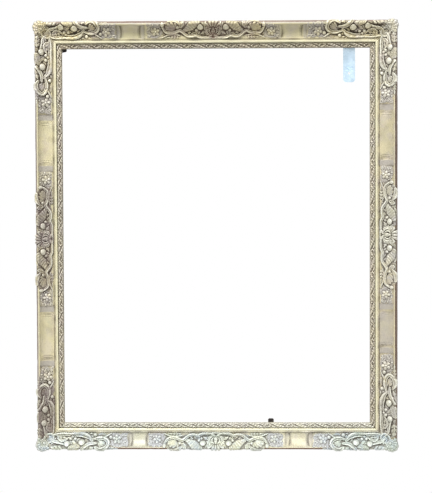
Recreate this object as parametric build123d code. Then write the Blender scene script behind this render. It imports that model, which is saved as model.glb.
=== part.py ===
from build123d import *
import os

# Gilded picture frame with a hollow moulding, corner and centre ornament, and its fittings.
# Millimetres. +Z is up and -Y faces the viewer. The origin is the centre of the opening, in the plane
# of the frame's back. The wall lies behind, towards +Y.
#
# Each rail is drawn once in its own frame: X along the rail, Z outwards from the sight edge and -Y
# forwards from the back. "Across" means outwards from the sight edge, "height" forwards from the back.

# Opening seen from the front
sight_width = 589.0
sight_height = 719.0

# Rail section
moulding_width = 53.5
side_flare = 5.0
rebate_width = 7.0
rebate_depth = 14.0
seat_height = 18.0
quirk_width = 1.0
fillet_width = 6.2
fillet_inner_height = 26.0
fillet_outer_height = 27.8
fillet_crown = 0.5
step_width = 1.0
step_drop = 2.5
panel_outer_height = 38.5
panel_hollow = 4.5
lip_width = 4.0
lip_step = 1.0
lip_shoulder_drop = 0.2
side_hollow = 1.5
side_foot_height = 9.0

# Carved strip along the sight edge
strip_width = 9.6
strip_inner_rise = 1.5
strip_outer_rise = 3.5
strip_crown_rise = 6.6

# Keys let into the back across the mitres
key_length = 44.0
key_width = 16.0
key_depth = 6.0
key_inset = 23.5

# Relief of the ornament above the moulding
ground_rise = 2.4
flower_rise = 4.2
rim_rise = 5.4
rim_width = 3.4
ball_lift = 1.2
overrun = 5.0

# Corner ornament
corner_spray_length = 168.0
corner_spray_start = 20.0
shell_radius = 10.8
shell_inset = 6.0
shell_lobe_radius = 2.6
shell_lobes = 11
shell_overhang = 7.5
shell_boss_radius = 7.0
inner_scroll_radius = 8.5
inner_scroll_spacing = 13.0

# Centre ornament
plain_length = 53.0
palmette_radius = 12.0
palmette_inset = 12.0
palmette_lobe_radius = 3.2
palmette_lobes = 9
palmette_overhang = 3.5
palmette_boss_radius = 5.5
palmette_foot_radius = 9.0
palmette_foot_drop = 9.5
bead_radius = 2.8
bead_offset = 4.4
bead_drop = 13.0
spray_overhang = 1.5
top_ornament_shift = -6.5
bottom_ornament_shift = 2.0
left_ornament_shift = -4.0
right_ornament_shift = -2.5

# Screws
screw_head_radius = 3.6
screw_head_height = 2.0
screw_slot_width = 0.9
screw_slot_depth = 1.0
screw_shank_radius = 1.6
screw_depth = 12.0
screw_tip_length = 3.0
screw_hole_clearance = 0.1
pivot_clearance = 0.08
head_clearance = 0.1

# Retaining plate on the back of the top rail
plate_width = 22.7
plate_thickness = 1.5
plate_reach = 65.0
plate_pivot_across = 20.0
plate_tail = 11.0
plate_end_radius = 6.0
plate_inset = 38.8
plate_hole_radius = 2.2
plate_hole_margin = 17.0
plate_rib_radius = 1.2
plate_groove_radius = 0.8
plate_rib_length = 13.0
plate_rib_pitch = 3.4
plate_rib_margin = 23.0
plate_ribs = 3

# Turn buttons on the back of the top and bottom rails
button_width = 11.0
button_thickness = 2.0
button_reach = 24.0
button_tail = 7.0
button_chamfer = 1.8
button_pivot_across = 18.5
top_button_outset = 2.5
top_button_tilt = -12.0
bottom_button_offset = 104.0

# Strap hangers on the backs of the side rails
hanger_inset = 23.5
hanger_height = 150.0
strap_width = 13.0
strap_thickness = 1.2
strap_end_radius = 5.0
ring_screw_clearance = 3.1
strap_screw_spacing = 15.0
strap_end_margin = 8.0
strap_shoulder = 1.0
loop_clearance = 0.08
ring_wire_radius = 1.3
ring_side_play = 0.9
ring_drop = 19.0
ring_top_bend = 2.6
ring_bottom_bend = 8.0
ring_lay_gap = 0.3

# Places of the corner spray's parts. Along is a share of the spray's length, from the outer edge of the
# corner, and so is the third share of a leaf, half its length. The others are shares of the ornament's
# zone, from the panel's start to the front's edge.
corner_leaf_shares = [
    (0.17, 0.45, 0.073, 0.36),
    (0.28, 0.62, 0.077, 0.42),
    (0.40, 0.52, 0.082, 0.46),
    (0.50, 0.50, 0.077, 0.46),
    (0.62, 0.55, 0.073, 0.50),
    (0.72, 0.42, 0.066, 0.40),
    (0.81, 0.42, 0.066, 0.40),
    (0.90, 0.44, 0.073, 0.32),
]
corner_rim_shares = [
    ((0.16, 0.52), (0.20, 0.66), (0.26, 0.70)),
    ((0.15, 0.20), (0.29, 0.06), (0.45, 0.15)),
    ((0.45, 0.15), (0.52, 0.22), (0.55, 0.42)),
    ((0.46, 0.90), (0.51, 0.72), (0.58, 0.68)),
    ((0.59, 0.46), (0.66, 0.33), (0.70, 0.62)),
    ((0.70, 0.62), (0.70, 0.84), (0.65, 0.92)),
    ((0.60, 0.30), (0.66, 0.14), (0.73, 0.08)),
]
corner_ball_shares = [(0.28, 0.80, 0.18), (0.44, 0.67, 0.17), (0.58, 0.14, 0.10)]
corner_flower_shares = (0.80, 0.42, 0.25, 0.10)

# Places of the centre spray's parts, with along a share of its length from the middle of the rail
centre_leaf_shares = [
    (0.17, 0.45, 0.101, 0.44),
    (0.30, 0.60, 0.101, 0.44),
    (0.42, 0.53, 0.101, 0.46),
    (0.56, 0.55, 0.101, 0.42),
    (0.70, 0.45, 0.092, 0.42),
    (0.84, 0.42, 0.092, 0.38),
    (0.93, 0.42, 0.063, 0.26),
]
centre_rim_shares = [
    ((0.70, 0.74), (0.63, 0.40), (0.49, 0.57)),
    ((0.49, 0.57), (0.40, 0.17), (0.24, 0.18)),
    ((0.24, 0.18), (0.18, 0.07), (0.10, 0.06)),
    ((0.76, 0.07), (0.64, 0.30), (0.51, 0.20)),
]
centre_ball_shares = [(0.19, 0.80, 0.18), (0.34, 0.74, 0.15)]
centre_flower_shares = (0.88, 0.38, 0.22, 0.09)

# Worked out from the sizes above
front_width = moulding_width - side_flare
fillet_start = strip_width + quirk_width
fillet_end = fillet_start + fillet_width
panel_start = fillet_end + step_width
panel_end = front_width - lip_width
panel_inner_height = fillet_outer_height - step_drop
lip_shoulder_height = panel_outer_height - lip_shoulder_drop
lip_rise = lip_step + lip_shoulder_drop
lip_radius = (lip_width**2 + lip_rise**2) / (2 * lip_width)
lip_height = lip_shoulder_height + lip_radius
key_across = moulding_width - key_inset
shell_across = front_width - shell_inset
inner_scroll_across = shell_across - inner_scroll_spacing
palmette_across = front_width - palmette_inset
palmette_foot_across = palmette_across - palmette_foot_drop
bead_across = palmette_across - bead_drop
hanger_across = moulding_width - hanger_inset
strap_first_screw = ring_drop + ring_wire_radius + screw_head_radius + ring_screw_clearance
strap_second_screw = strap_first_screw + strap_screw_spacing
strap_length = strap_second_screw + strap_end_margin
loop_width = strap_width - 2 * strap_shoulder
ring_width = loop_width + 2 * ring_side_play + 2 * ring_top_bend
loop_bore_radius = ring_wire_radius + loop_clearance
loop_outer_radius = loop_bore_radius + strap_thickness
loop_height = strap_thickness + ring_lay_gap + ring_wire_radius
zone_width = front_width - panel_start
half_width = sight_width / 2
half_height = sight_height / 2
centre_spray_length = half_width + moulding_width - corner_spray_length - plain_length

front_plane = Plane.XZ
section_plane = Plane(origin=(0, 0, 0), x_dir=(0, 0, 1), z_dir=(1, 0, 0))
mitre_plane = Plane(origin=(0, 0, 0), z_dir=(1, 0, 1))


def lay(sketch, back, depth):
    """Extrude a drawing seen from the front: its back lies at one height, and it is this deep."""
    return Pos(0, -back, 0) * extrude(front_plane * sketch, amount=depth)


def polygon(points):
    return make_face(Polyline(*points, close=True))


def rail_section():
    """Section of a rail: across the moulding, then forwards from the back."""
    return section_plane * make_face([
        Line((rebate_width, 0), (moulding_width, 0)),
        Line((moulding_width, 0), (moulding_width, side_foot_height)),
        SagittaArc((moulding_width, side_foot_height), (front_width, lip_shoulder_height), side_hollow),
        ThreePointArc(
            (front_width, lip_shoulder_height),
            (front_width - lip_radius, lip_height),
            (panel_end, panel_outer_height + lip_step),
        ),
        Line((panel_end, panel_outer_height + lip_step), (panel_end, panel_outer_height)),
        SagittaArc((panel_end, panel_outer_height), (panel_start, panel_inner_height), panel_hollow),
        Line((panel_start, panel_inner_height), (fillet_end, fillet_outer_height)),
        SagittaArc((fillet_end, fillet_outer_height), (fillet_start, fillet_inner_height), -fillet_crown),
        Line((fillet_start, fillet_inner_height), (fillet_start, seat_height)),
        Line((fillet_start, seat_height), (0, seat_height)),
        Line((0, seat_height), (0, rebate_depth)),
        Line((0, rebate_depth), (rebate_width, rebate_depth)),
        Line((rebate_width, rebate_depth), (rebate_width, 0)),
    ])


def strip_section():
    """Section of the carved strip, which sits on its seat at the sight edge."""
    inner = (0, seat_height + strip_inner_rise)
    outer = (strip_width, seat_height + strip_outer_rise)
    return section_plane * make_face([
        Line((0, seat_height), (strip_width, seat_height)),
        Line((strip_width, seat_height), outer),
        ThreePointArc(outer, (strip_width / 2, seat_height + strip_crown_rise), inner),
        Line(inner, (0, seat_height)),
    ])


def mitred(section, half_sight):
    """Bar of a section, cut at 45 degrees at both ends of one side of the opening."""
    reach = half_sight + moulding_width + overrun
    outer = moulding_width + overrun
    block = lay(
        polygon([
            (-half_sight + overrun, -overrun),
            (half_sight - overrun, -overrun),
            (half_sight + outer, outer),
            (-half_sight - outer, outer),
        ]),
        -overrun,
        lip_height + 2 * overrun,
    )
    return extrude(section, amount=reach, both=True) & block


def corner_key():
    """Wooden key in the back, square across the mitre of the top left corner."""
    blank = Box(key_length, key_depth, key_width)
    return Pos(-key_across, -key_depth / 2, key_across) * Rot(0, -45, 0) * blank


def cover(rise, overhang, half_length):
    """Bar that follows the front of a rail at one height above it, and reaches past its outer edge."""
    inner = (fillet_start, fillet_inner_height + rise)
    step = (fillet_end, fillet_outer_height + rise)
    panel_top = (panel_end, panel_outer_height + rise)
    edge = (front_width + overhang, lip_shoulder_height)
    crest = (front_width + overhang / 2, lip_height + rise / 2)
    section = section_plane * make_face([
        Line(inner, step),
        SagittaArc(step, panel_top, -panel_hollow),
        ThreePointArc(panel_top, crest, edge),
        Line(edge, (panel_end, lip_shoulder_height)),
        Line((panel_end, lip_shoulder_height), (panel_end, seat_height)),
        Line((panel_end, seat_height), (fillet_start, seat_height)),
        Line((fillet_start, seat_height), inner),
    ])
    return extrude(section, amount=half_length, both=True)


def relief(outline, rise, overhang, half_length):
    """One level of ornament: its outline seen from the front, cut to the cover's height."""
    depth = lip_height + rise + 2 * overrun
    return lay(outline, 0, depth) & cover(rise, overhang, half_length)


def panel_height(across):
    """Height of the hollow panel's surface, near enough to seat a ball in it."""
    share = (across - panel_start) / (panel_end - panel_start)
    chord = panel_inner_height + share * (panel_outer_height - panel_inner_height)
    return chord - 4 * panel_hollow * share * (1 - share)


def ball(along, across, radius):
    return Pos(along, -panel_height(across) - ball_lift, across) * Sphere(radius)


def place(shares, start, length):
    """Turn a pair of shares into a place on the rail."""
    return (start + shares[0] * length, panel_start + shares[1] * zone_width)


def leaves(rows, start, length):
    """Overlapping oval leaves that make the ground of a spray."""
    outline = Sketch()
    for along, across, long_share, wide_share in rows:
        oval = Ellipse(long_share * length, wide_share * zone_width)
        outline += Pos(*place((along, across), start, length)) * oval
    return outline


def scrolls(rows, start, length):
    """Raised scroll rims, each an arc through three places."""
    outline = Sketch()
    for row in rows:
        points = [place(shares, start, length) for shares in row]
        outline += SlotArc(ThreePointArc(*points), rim_width)
    return outline


def spray(leaf_rows, rim_rows, ball_rows, flower, start, length):
    """Spray along a rail, before its seat is cut: leaf ground, scroll rims, ball curls and a flower."""
    reach = start + length + overrun
    body = relief(leaves(leaf_rows, start, length), ground_rise, spray_overhang, reach)
    body += relief(scrolls(rim_rows, start, length), rim_rise, spray_overhang, reach)
    for along, across, radius_share in ball_rows:
        body += ball(*place((along, across), start, length), radius_share * zone_width)
    along, across, flower_share, eye_share = flower
    middle = place((along, across), start, length)
    petals = Pos(*middle) * Circle(flower_share * zone_width)
    body += relief(petals, flower_rise, spray_overhang, reach)
    eye = Circle(eye_share * zone_width)
    body += relief(Pos(*middle) * eye, rim_rise, spray_overhang, reach)
    return body


def fan(radius, lobe_radius, lobes, first_angle, sweep):
    """Round plate with lobes along one part of its rim, as on a shell."""
    outline = Sketch() + Circle(radius)
    for index in range(lobes):
        angle = first_angle + sweep * index / (lobes - 1)
        outline += Rot(0, 0, angle) * Pos(radius, 0) * Circle(lobe_radius)
    return outline


def half_corner():
    """The part of a corner shell that lies on the top rail, clipped at the mitre."""
    reach = moulding_width + corner_spray_length
    far = moulding_width + shell_overhang + overrun
    side = polygon([(-far, far), (far, far), (far, -far)])
    plate = Pos(-shell_across, shell_across) * fan(
        shell_radius, shell_lobe_radius, shell_lobes, 0, 270
    )
    boss = Pos(-shell_across, shell_across) * Circle(shell_boss_radius)
    scroll = Pos(-inner_scroll_across, inner_scroll_across) * Circle(inner_scroll_radius + rim_width)
    rim = Pos(-inner_scroll_across, inner_scroll_across) * (
        Circle(inner_scroll_radius + rim_width / 2) - Circle(inner_scroll_radius - rim_width / 2)
    )
    body = relief((plate + scroll) & side, ground_rise, shell_overhang, reach)
    body += relief((boss + rim) & side, rim_rise, shell_overhang, reach)
    return body


def corner_ornament(stock):
    """Shell and inner scroll of the top left corner, on both rails, and the spray on the top rail."""
    half = half_corner() - stock
    shell = half + mirror(half, about=mitre_plane)
    start = -moulding_width
    arm = spray(
        corner_leaf_shares, corner_rim_shares, corner_ball_shares, corner_flower_shares,
        start, corner_spray_length,
    )
    far = moulding_width + overrun
    clip = lay(
        polygon([
            (start + corner_spray_start, far),
            (start + corner_spray_length + far, far),
            (start + corner_spray_length + far, 0),
            (0, 0),
        ]),
        0,
        lip_height + 2 * far,
    )
    return shell, (arm & clip) - stock - shell


def centre_ornament(stock):
    """Palmette of a rail's middle and the spray on its right."""
    reach = centre_spray_length
    plate = Pos(0, palmette_across) * fan(
        palmette_radius, palmette_lobe_radius, palmette_lobes, 0, 180
    )
    foot = Pos(0, palmette_foot_across) * Circle(palmette_foot_radius)
    palmette = relief(plate + foot, ground_rise, palmette_overhang, reach)
    boss = Pos(0, palmette_across) * Circle(palmette_boss_radius)
    palmette += relief(boss, rim_rise, palmette_overhang, reach)
    for side in (-1, 1):
        palmette += ball(side * bead_offset, bead_across, bead_radius)
    palmette -= stock
    hub = Pos(0, palmette_across) * Circle(palmette_radius + palmette_lobe_radius)
    kept_clear = lay(hub + foot, 0, lip_height + rim_rise + overrun)
    arm = spray(
        centre_leaf_shares, centre_rim_shares, centre_ball_shares, centre_flower_shares,
        0, centre_spray_length,
    )
    return palmette, arm - stock - kept_clear


def wood_screw(seat, depth):
    """Round-headed screw along Y: its head rests on a face at one height behind the back."""
    shank_length = seat + depth
    shank = Pos(0, seat - shank_length / 2, 0) * Rot(90, 0, 0) * Cylinder(screw_shank_radius, shank_length)
    tip = Pos(0, -depth - screw_tip_length / 2, 0) * Rot(90, 0, 0) * Cone(
        screw_shank_radius, screw_shank_radius / 4, screw_tip_length
    )
    head = Pos(0, seat + screw_head_height / 2, 0) * Rot(90, 0, 0) * Cone(
        screw_head_radius / 2, screw_head_radius, screw_head_height
    )
    slot = Pos(0, seat + screw_head_height, 0) * Box(
        2 * screw_head_radius, 2 * screw_slot_depth, screw_slot_width
    )
    return shank + tip + head - slot


def screw_hole(depth):
    """Hole in a rail for a screw and its tip."""
    length = depth + screw_tip_length + screw_hole_clearance
    radius = screw_shank_radius + screw_hole_clearance
    return Pos(0, -length / 2, 0) * Rot(90, 0, 0) * Cylinder(radius, length)


def retaining_plate():
    """Flat plate that hangs from its screw, which is at this drawing's origin."""
    drop = plate_pivot_across + plate_reach
    middle = (plate_tail - drop) / 2
    blank = Pos(0, middle) * RectangleRounded(plate_width, plate_tail + drop, plate_end_radius)
    pivot = Circle(screw_shank_radius + pivot_clearance)
    hole = Pos(0, plate_hole_margin - drop) * Circle(plate_hole_radius)
    body = lay(blank - pivot - hole, -plate_thickness, plate_thickness)
    for index in range(plate_ribs):
        height = plate_rib_margin - drop + index * plate_rib_pitch
        rib = Rot(0, 90, 0) * Cylinder(plate_rib_radius, plate_rib_length)
        behind = Pos(0, plate_thickness + overrun / 2, 0) * Box(plate_width, overrun, plate_rib_pitch)
        groove = Rot(0, 90, 0) * Cylinder(plate_groove_radius, plate_rib_length)
        body += Pos(0, 0, height) * (Pos(0, plate_thickness, 0) * rib & behind)
        body -= Pos(0, 0, height) * groove
    return body


def turn_button():
    """Bar that turns on its screw, which is at this drawing's origin, and reaches upwards."""
    half = button_width / 2
    bar = polygon([
        (-half, 0),
        (half, 0),
        (half, button_reach - button_chamfer),
        (half - button_chamfer, button_reach),
        (button_chamfer - half, button_reach),
        (-half, button_reach - button_chamfer),
    ])
    tail = Circle(button_tail) & Rectangle(button_width, 2 * button_tail)
    pivot = Circle(screw_shank_radius + pivot_clearance)
    return lay(bar + tail - pivot, -button_thickness, button_thickness)


def hanger_strap():
    """Strap with the loop for the ring at its top, drawn with the loop's axis at height zero."""
    blank = Pos(0, -strap_length / 2) * RectangleRounded(strap_width, strap_length, strap_end_radius)
    neck = Pos(0, -strap_end_radius) * Rectangle(loop_width, 2 * strap_end_radius)
    outline = blank + neck
    for drop in (strap_first_screw, strap_second_screw):
        outline -= Pos(0, -drop) * Circle(screw_shank_radius + screw_hole_clearance)
    body = lay(outline, -strap_thickness, strap_thickness)
    loop = Pos(0, loop_height, 0) * Rot(0, 90, 0) * Cylinder(loop_outer_radius, loop_width)
    bore = Pos(0, loop_height, 0) * Rot(0, 90, 0) * Cylinder(loop_bore_radius, 2 * strap_width)
    return body + loop - bore


def hanger_ring():
    """Bent wire ring: its straight leg lies in the strap's loop and its bow hangs below."""
    half = ring_width / 2
    path = FilletPolyline(
        (0, 0), (half, 0), (half, -ring_drop), (-half, -ring_drop), (-half, 0), (0, 0),
        radius=[0, ring_top_bend, ring_bottom_bend, ring_bottom_bend, ring_top_bend],
        close=True,
    )
    wire = front_plane * path
    section = Plane(origin=(0, 0, 0), z_dir=(1, 0, 0)) * Circle(ring_wire_radius)
    return Pos(0, loop_height, 0) * sweep(section, path=wire)


corner_turns = {"top_left": 0, "top_right": 90, "bottom_right": 180, "bottom_left": 270}
corner_signs = {"top_left": (-1, 1), "top_right": (1, 1), "bottom_right": (1, -1), "bottom_left": (-1, -1)}
rail_turns = {"top": 0, "right": 90, "bottom": 180, "left": 270}
rail_halves = {"top": half_width, "right": half_height, "bottom": half_width, "left": half_height}
rail_shifts = {
    "top": top_ornament_shift,
    "right": right_ornament_shift,
    "bottom": bottom_ornament_shift,
    "left": left_ornament_shift,
}
# The two sprays of a palmette: the one towards the start of the rail's own X axis, then the other
centre_sides = {
    "top": ("left", "right"),
    "right": ("upper", "lower"),
    "bottom": ("right", "left"),
    "left": ("lower", "upper"),
}
# The two rails at each corner: the one that the corner is drawn on, then its neighbour round the mitre
corner_rails = {
    "top_left": ("top", "left"),
    "top_right": ("right", "top"),
    "bottom_right": ("bottom", "right"),
    "bottom_left": ("left", "bottom"),
}


def corner_place(name):
    """Place of a corner drawn at the origin, at its corner of the opening."""
    side, level = corner_signs[name]
    return Pos(side * half_width, 0, level * half_height) * Rot(0, corner_turns[name], 0)


def rail_place(name):
    """Place of a rail drawn in its own frame, on its side of the opening."""
    out = half_height if name in ("top", "bottom") else half_width
    return Rot(0, rail_turns[name], 0) * Pos(0, 0, out)


def fitting_places():
    """Pivots and screws on the back: name, then the place of the fitting's origin."""
    top = half_height + button_pivot_across
    stile = half_width + hanger_across
    return {
        "retaining_plate": Pos(half_width - plate_inset, 0, half_height + plate_pivot_across),
        "turn_button_top": Pos(-half_width - top_button_outset, 0, top) * Rot(0, 180 + top_button_tilt, 0),
        "turn_button_bottom": Pos(bottom_button_offset, 0, -top),
        "hanger_left": Pos(-stile, 0, hanger_height),
        "hanger_right": Pos(stile, 0, hanger_height),
    }


def build():
    """Make every piece: node name, then solid or group of solids."""
    pieces = {}
    section = rail_section()
    stock_length = half_height + moulding_width
    stock = extrude(section, amount=stock_length, both=True)
    keys = {name: corner_place(name) * corner_key() for name in corner_turns}
    places = fitting_places()
    strap_screws = [Pos(0, 0, -strap_first_screw), Pos(0, 0, -strap_second_screw)]

    for name in rail_turns:
        rail = rail_place(name) * mitred(section, rail_halves[name])
        for corner, key in keys.items():
            if name in corner_rails[corner]:
                rail -= key
        pieces[name + "_rail"] = rail
        pieces[name + "_sight_strip"] = rail_place(name) * mitred(strip_section(), rail_halves[name])
    for rail, fitting in (
        ("top", "retaining_plate"), ("top", "turn_button_top"), ("bottom", "turn_button_bottom"),
    ):
        pieces[rail + "_rail"] -= places[fitting] * screw_hole(screw_depth)
    for side in ("left", "right"):
        for drop in strap_screws:
            pieces[side + "_rail"] -= places["hanger_" + side] * drop * screw_hole(screw_depth)
    for name, key in keys.items():
        pieces["corner_key_" + name] = key

    shell, corner_arm = corner_ornament(stock)
    other_arm = mirror(corner_arm, about=mitre_plane)
    for name in corner_turns:
        own, neighbour = corner_rails[name]
        pieces["corner_shell_" + name] = corner_place(name) * shell
        pieces["corner_spray_" + name + "_on_" + own] = corner_place(name) * corner_arm
        pieces["corner_spray_" + name + "_on_" + neighbour] = corner_place(name) * other_arm

    palmette, centre_arm = centre_ornament(stock)
    left_arm = mirror(centre_arm, about=Plane.YZ)
    for name in rail_turns:
        middle = rail_place(name) * Pos(rail_shifts[name], 0, 0)
        pieces["palmette_" + name] = middle * palmette
        first, second = centre_sides[name]
        pieces["centre_spray_" + name + "_" + first] = middle * left_arm
        pieces["centre_spray_" + name + "_" + second] = middle * centre_arm

    plate_seat = plate_thickness + head_clearance
    button_seat = button_thickness + head_clearance
    pieces["retaining_plate"] = places["retaining_plate"] * retaining_plate()
    pieces["retaining_plate_screw"] = places["retaining_plate"] * wood_screw(plate_seat, screw_depth)
    for name in ("turn_button_top", "turn_button_bottom"):
        pieces[name] = places[name] * turn_button()
    pieces["turn_button_screws"] = Compound([
        places[name] * wood_screw(button_seat, screw_depth)
        for name in ("turn_button_top", "turn_button_bottom")
    ])
    for side in ("left", "right"):
        pieces["hanger_strap_" + side] = places["hanger_" + side] * hanger_strap()
        pieces["hanger_ring_" + side] = places["hanger_" + side] * hanger_ring()
    pieces["hanger_screws"] = Compound([
        places["hanger_" + side] * drop * wood_screw(strap_thickness, screw_depth)
        for side in ("left", "right")
        for drop in strap_screws
    ])
    return pieces


os.makedirs("parts", exist_ok=True)
for node, solid in build().items():
    export_step(solid, "parts/" + node + ".step")
    print(node)
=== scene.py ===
"""Visual model of the gilded frame: moulding, carved ornament, fittings, studio and camera."""
import logging
import math
from collections.abc import Sequence
from dataclasses import dataclass, field, replace
from enum import Enum
from functools import cache

import bmesh
import bpy
import numpy as np
from mathutils import Matrix, Vector
from mathutils.geometry import tessellate_polygon


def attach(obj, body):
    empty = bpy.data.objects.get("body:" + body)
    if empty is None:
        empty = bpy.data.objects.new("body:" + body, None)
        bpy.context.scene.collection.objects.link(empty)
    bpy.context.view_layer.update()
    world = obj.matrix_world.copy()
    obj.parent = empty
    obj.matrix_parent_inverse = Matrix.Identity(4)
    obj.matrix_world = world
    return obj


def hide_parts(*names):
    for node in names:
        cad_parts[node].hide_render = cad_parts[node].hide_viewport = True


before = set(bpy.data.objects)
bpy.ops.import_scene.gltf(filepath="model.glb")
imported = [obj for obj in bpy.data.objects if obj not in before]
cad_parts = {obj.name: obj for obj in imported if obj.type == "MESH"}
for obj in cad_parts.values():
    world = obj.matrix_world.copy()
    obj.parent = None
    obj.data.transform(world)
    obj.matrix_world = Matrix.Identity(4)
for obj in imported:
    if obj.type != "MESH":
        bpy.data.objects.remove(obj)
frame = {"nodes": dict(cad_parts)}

log = logging.getLogger("frame")

MM = 0.001
# Across the rail, where the lip starts, and how much longer its face is than it looks from the front
LIP = 44.5
LIP_STRETCH = 1.4
# Across the rail, the line that stays put when ornament is drawn wider or narrower
FIXED_LINE = 21.5
# Height of the relief's grid where nothing is carved, and of the ground under the leaves
EMPTY = -4.0
GROUND = 0.9
# Direction of the outer corner, at the top left, as seen from inside the frame
MITRE = math.radians(135)

Colour = tuple[float, float, float]
Points = Sequence[tuple[float, float]]
Grid = np.ndarray
Piece = bpy.types.Object
Finish = bpy.types.Material
Spot = tuple[float, float]
Oval = tuple[float, float, float, float]


class Place(Enum):
    """A place on the opening, as the turn of its drawing about the Y axis, in degrees."""

    @property
    def label(self) -> str:
        """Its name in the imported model."""
        return self.name.lower()


class Side(Place):
    """A side of the opening, with its rail."""

    TOP, RIGHT, BOTTOM, LEFT = 0, 90, 180, 270

    @property
    def upright(self) -> bool:
        """Whether the rail stands upright."""
        return self in (Side.LEFT, Side.RIGHT)

    @property
    def way(self) -> tuple[int, int]:
        """Which way the side lies from the middle, along X and Z."""
        return {0: (0, 1), 90: (1, 0), 180: (0, -1), 270: (-1, 0)}[self.value]


class Corner(Place):
    """A corner of the opening."""

    TOP_LEFT, TOP_RIGHT, BOTTOM_RIGHT, BOTTOM_LEFT = 0, 90, 180, 270

    @property
    def rails(self) -> tuple[Side, Side]:
        """The rail that the corner is drawn on, then its neighbour round the mitre."""
        return Side(self.value), Side((self.value + 270) % 360)

    @property
    def way(self) -> tuple[int, int]:
        """Which way the corner lies from the middle, along X and Z."""
        return (1 if "RIGHT" in self.name else -1), (1 if "TOP" in self.name else -1)


# Curves, blurs, ripples and easings, and the moulding that the relief lies on


def smooth_path(points: Points, count: int = 12) -> Grid:
    """Run a smooth curve through points.

    Args:
        points: Places along and across the rail, in millimetres.
        count: Steps between one point and the next.

    Returns:
        The curve's points, one row each.
    """
    knots = np.asarray(points, float)
    ends = np.vstack([2 * knots[0] - knots[1], knots, 2 * knots[-1] - knots[-2]])
    s = np.linspace(0, 1, count, endpoint=False)[:, None]
    runs = []
    for k in range(len(knots) - 1):
        a, b, c, d = ends[k:k + 4]
        start = 2 * b + (c - a) * s + (2 * a - 5 * b + 4 * c - d) * s**2
        runs.append(0.5 * (start + (3 * b - a - 3 * c + d) * s**3))
    return np.vstack(runs + [knots[-1:]])


def blur(values: Grid, sigma: float) -> Grid:
    """Blur a grid of values.

    Args:
        values: The grid.
        sigma: Width of the blur, in cells.

    Returns:
        The blurred grid, as large as the first.
    """
    reach = int(3 * sigma) + 1
    kernel = np.exp(-0.5 * (np.arange(-reach, reach + 1) / sigma) ** 2)
    kernel /= kernel.sum()
    out = values
    for axis, length in enumerate(values.shape):
        padded = np.pad(out, [(reach, reach) if k == axis else (0, 0) for k in (0, 1)], mode="edge")
        out = sum(k * np.take(padded, np.arange(n, n + length), axis) for n, k in enumerate(kernel))
    return out


def ripple(x: Grid, y: Grid, seed: int, length: float, waves: int = 7) -> Grid:
    """Soft unevenness of hand work.

    Args:
        x: Places along, in millimetres.
        y: Places across, in millimetres.
        seed: Picks one surface out of many.
        length: Typical length of a wave, in millimetres.
        waves: How many waves are summed.

    Returns:
        Values that stay mostly between -1 and 1.
    """
    rng = np.random.default_rng(seed)
    total = np.zeros(np.broadcast(x, y).shape)
    for _ in range(waves):
        angle, phase = rng.uniform(0, math.pi), rng.uniform(0, 2 * math.pi)
        pace = 2 * math.pi / (length * rng.uniform(0.6, 1.7))
        total += np.sin(pace * (x * math.cos(angle) + y * math.sin(angle)) + phase)
    return total / math.sqrt(waves)


def ease(x: Grid, low: float, high: float) -> Grid:
    """Go smoothly from 0 at low to 1 at high."""
    s = np.clip((x - low) / (high - low), 0, 1)
    return s * s * (3 - 2 * s)


def within(x: Grid, low: float, high: float, near: float, far: float) -> Grid:
    """Rise from 0 to 1 from near to far inside both ends of a stretch."""
    return ease(x, low + near, low + far) * (1 - ease(x, high - far, high - near))


def bump(x: Grid, width: float) -> Grid:
    """A soft bump, 1 where x is 0 and gone a little past the width."""
    return np.exp(-((x / width) ** 2))


def dome(x: Grid) -> Grid:
    """Height of a unit dome at a distance from its middle."""
    return np.sqrt(np.clip(1 - x * x, 0, None))


@dataclass(frozen=True)
class Moulding:
    """The rail's section as packed, in millimetres: across from the sight edge, then height from the back."""

    half_width: float = 294.5
    half_height: float = 359.5
    width: float = 53.5
    front: float = 48.5
    rebate_width: float = 7.0
    rebate_depth: float = 14.0
    seat: float = 18.0
    strip_width: float = 9.6
    strip_inner: float = 19.5
    strip_outer: float = 21.5
    fillet_start: float = 10.6
    fillet_end: float = 16.8
    fillet_inner: float = 26.0
    fillet_outer: float = 27.8
    bead_end: float = 15.0
    bead_crown: float = 0.75
    panel_start: float = 17.8
    panel_inner: float = 25.3
    panel_end: float = 44.5
    panel_outer: float = 38.5
    hollow: float = 4.5
    shoulder: float = 38.3
    lip_radius: float = 2.18
    lip_turn: float = 146.6
    side_hollow: float = 1.5
    side_foot: float = 9.0

    def arc(self, start: tuple[float, float], end: tuple[float, float], sagitta: float, count: int) -> Grid:
        """Points of an arc.

        Args:
            start: Where it starts.
            end: Where it ends.
            sagitta: How far it leaves its chord, to the left of the way from start to end.
            count: How many points, ends included.

        Returns:
            The points, one row each.
        """
        a, b = np.array(start), np.array(end)
        s = np.linspace(0, 1, count)[:, None]
        way = (b - a) / np.linalg.norm(b - a)
        return a + (b - a) * s + np.array([-way[1], way[0]]) * sagitta * 4 * s * (1 - s)

    def half(self, side: Side) -> float:
        """Half the length of the sight edge on one side."""
        return self.half_height if side.upright else self.half_width

    def panel(self, count: int) -> Grid:
        """Points of the hollow face, from its outer end to its inner end."""
        outer, inner = (self.panel_end, self.panel_outer), (self.panel_start, self.panel_inner)
        return self.arc(outer, inner, self.hollow, count)

    def lip_arc(self, count: int) -> Grid:
        """Points over the lip.

        Args:
            count: How many points, ends included.

        Returns:
            The points, from the panel's side to the shoulder.
        """
        turn = np.linspace(math.radians(self.lip_turn), 0, count)
        middle = np.array([self.front - self.lip_radius, self.shoulder])
        return middle + self.lip_radius * np.stack([np.cos(turn), np.sin(turn)], -1)

    def face(self, across: Grid) -> Grid:
        """Height of the hollow face at places across it, in millimetres."""
        return np.interp(across, *self.panel(60)[::-1].T)


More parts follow.
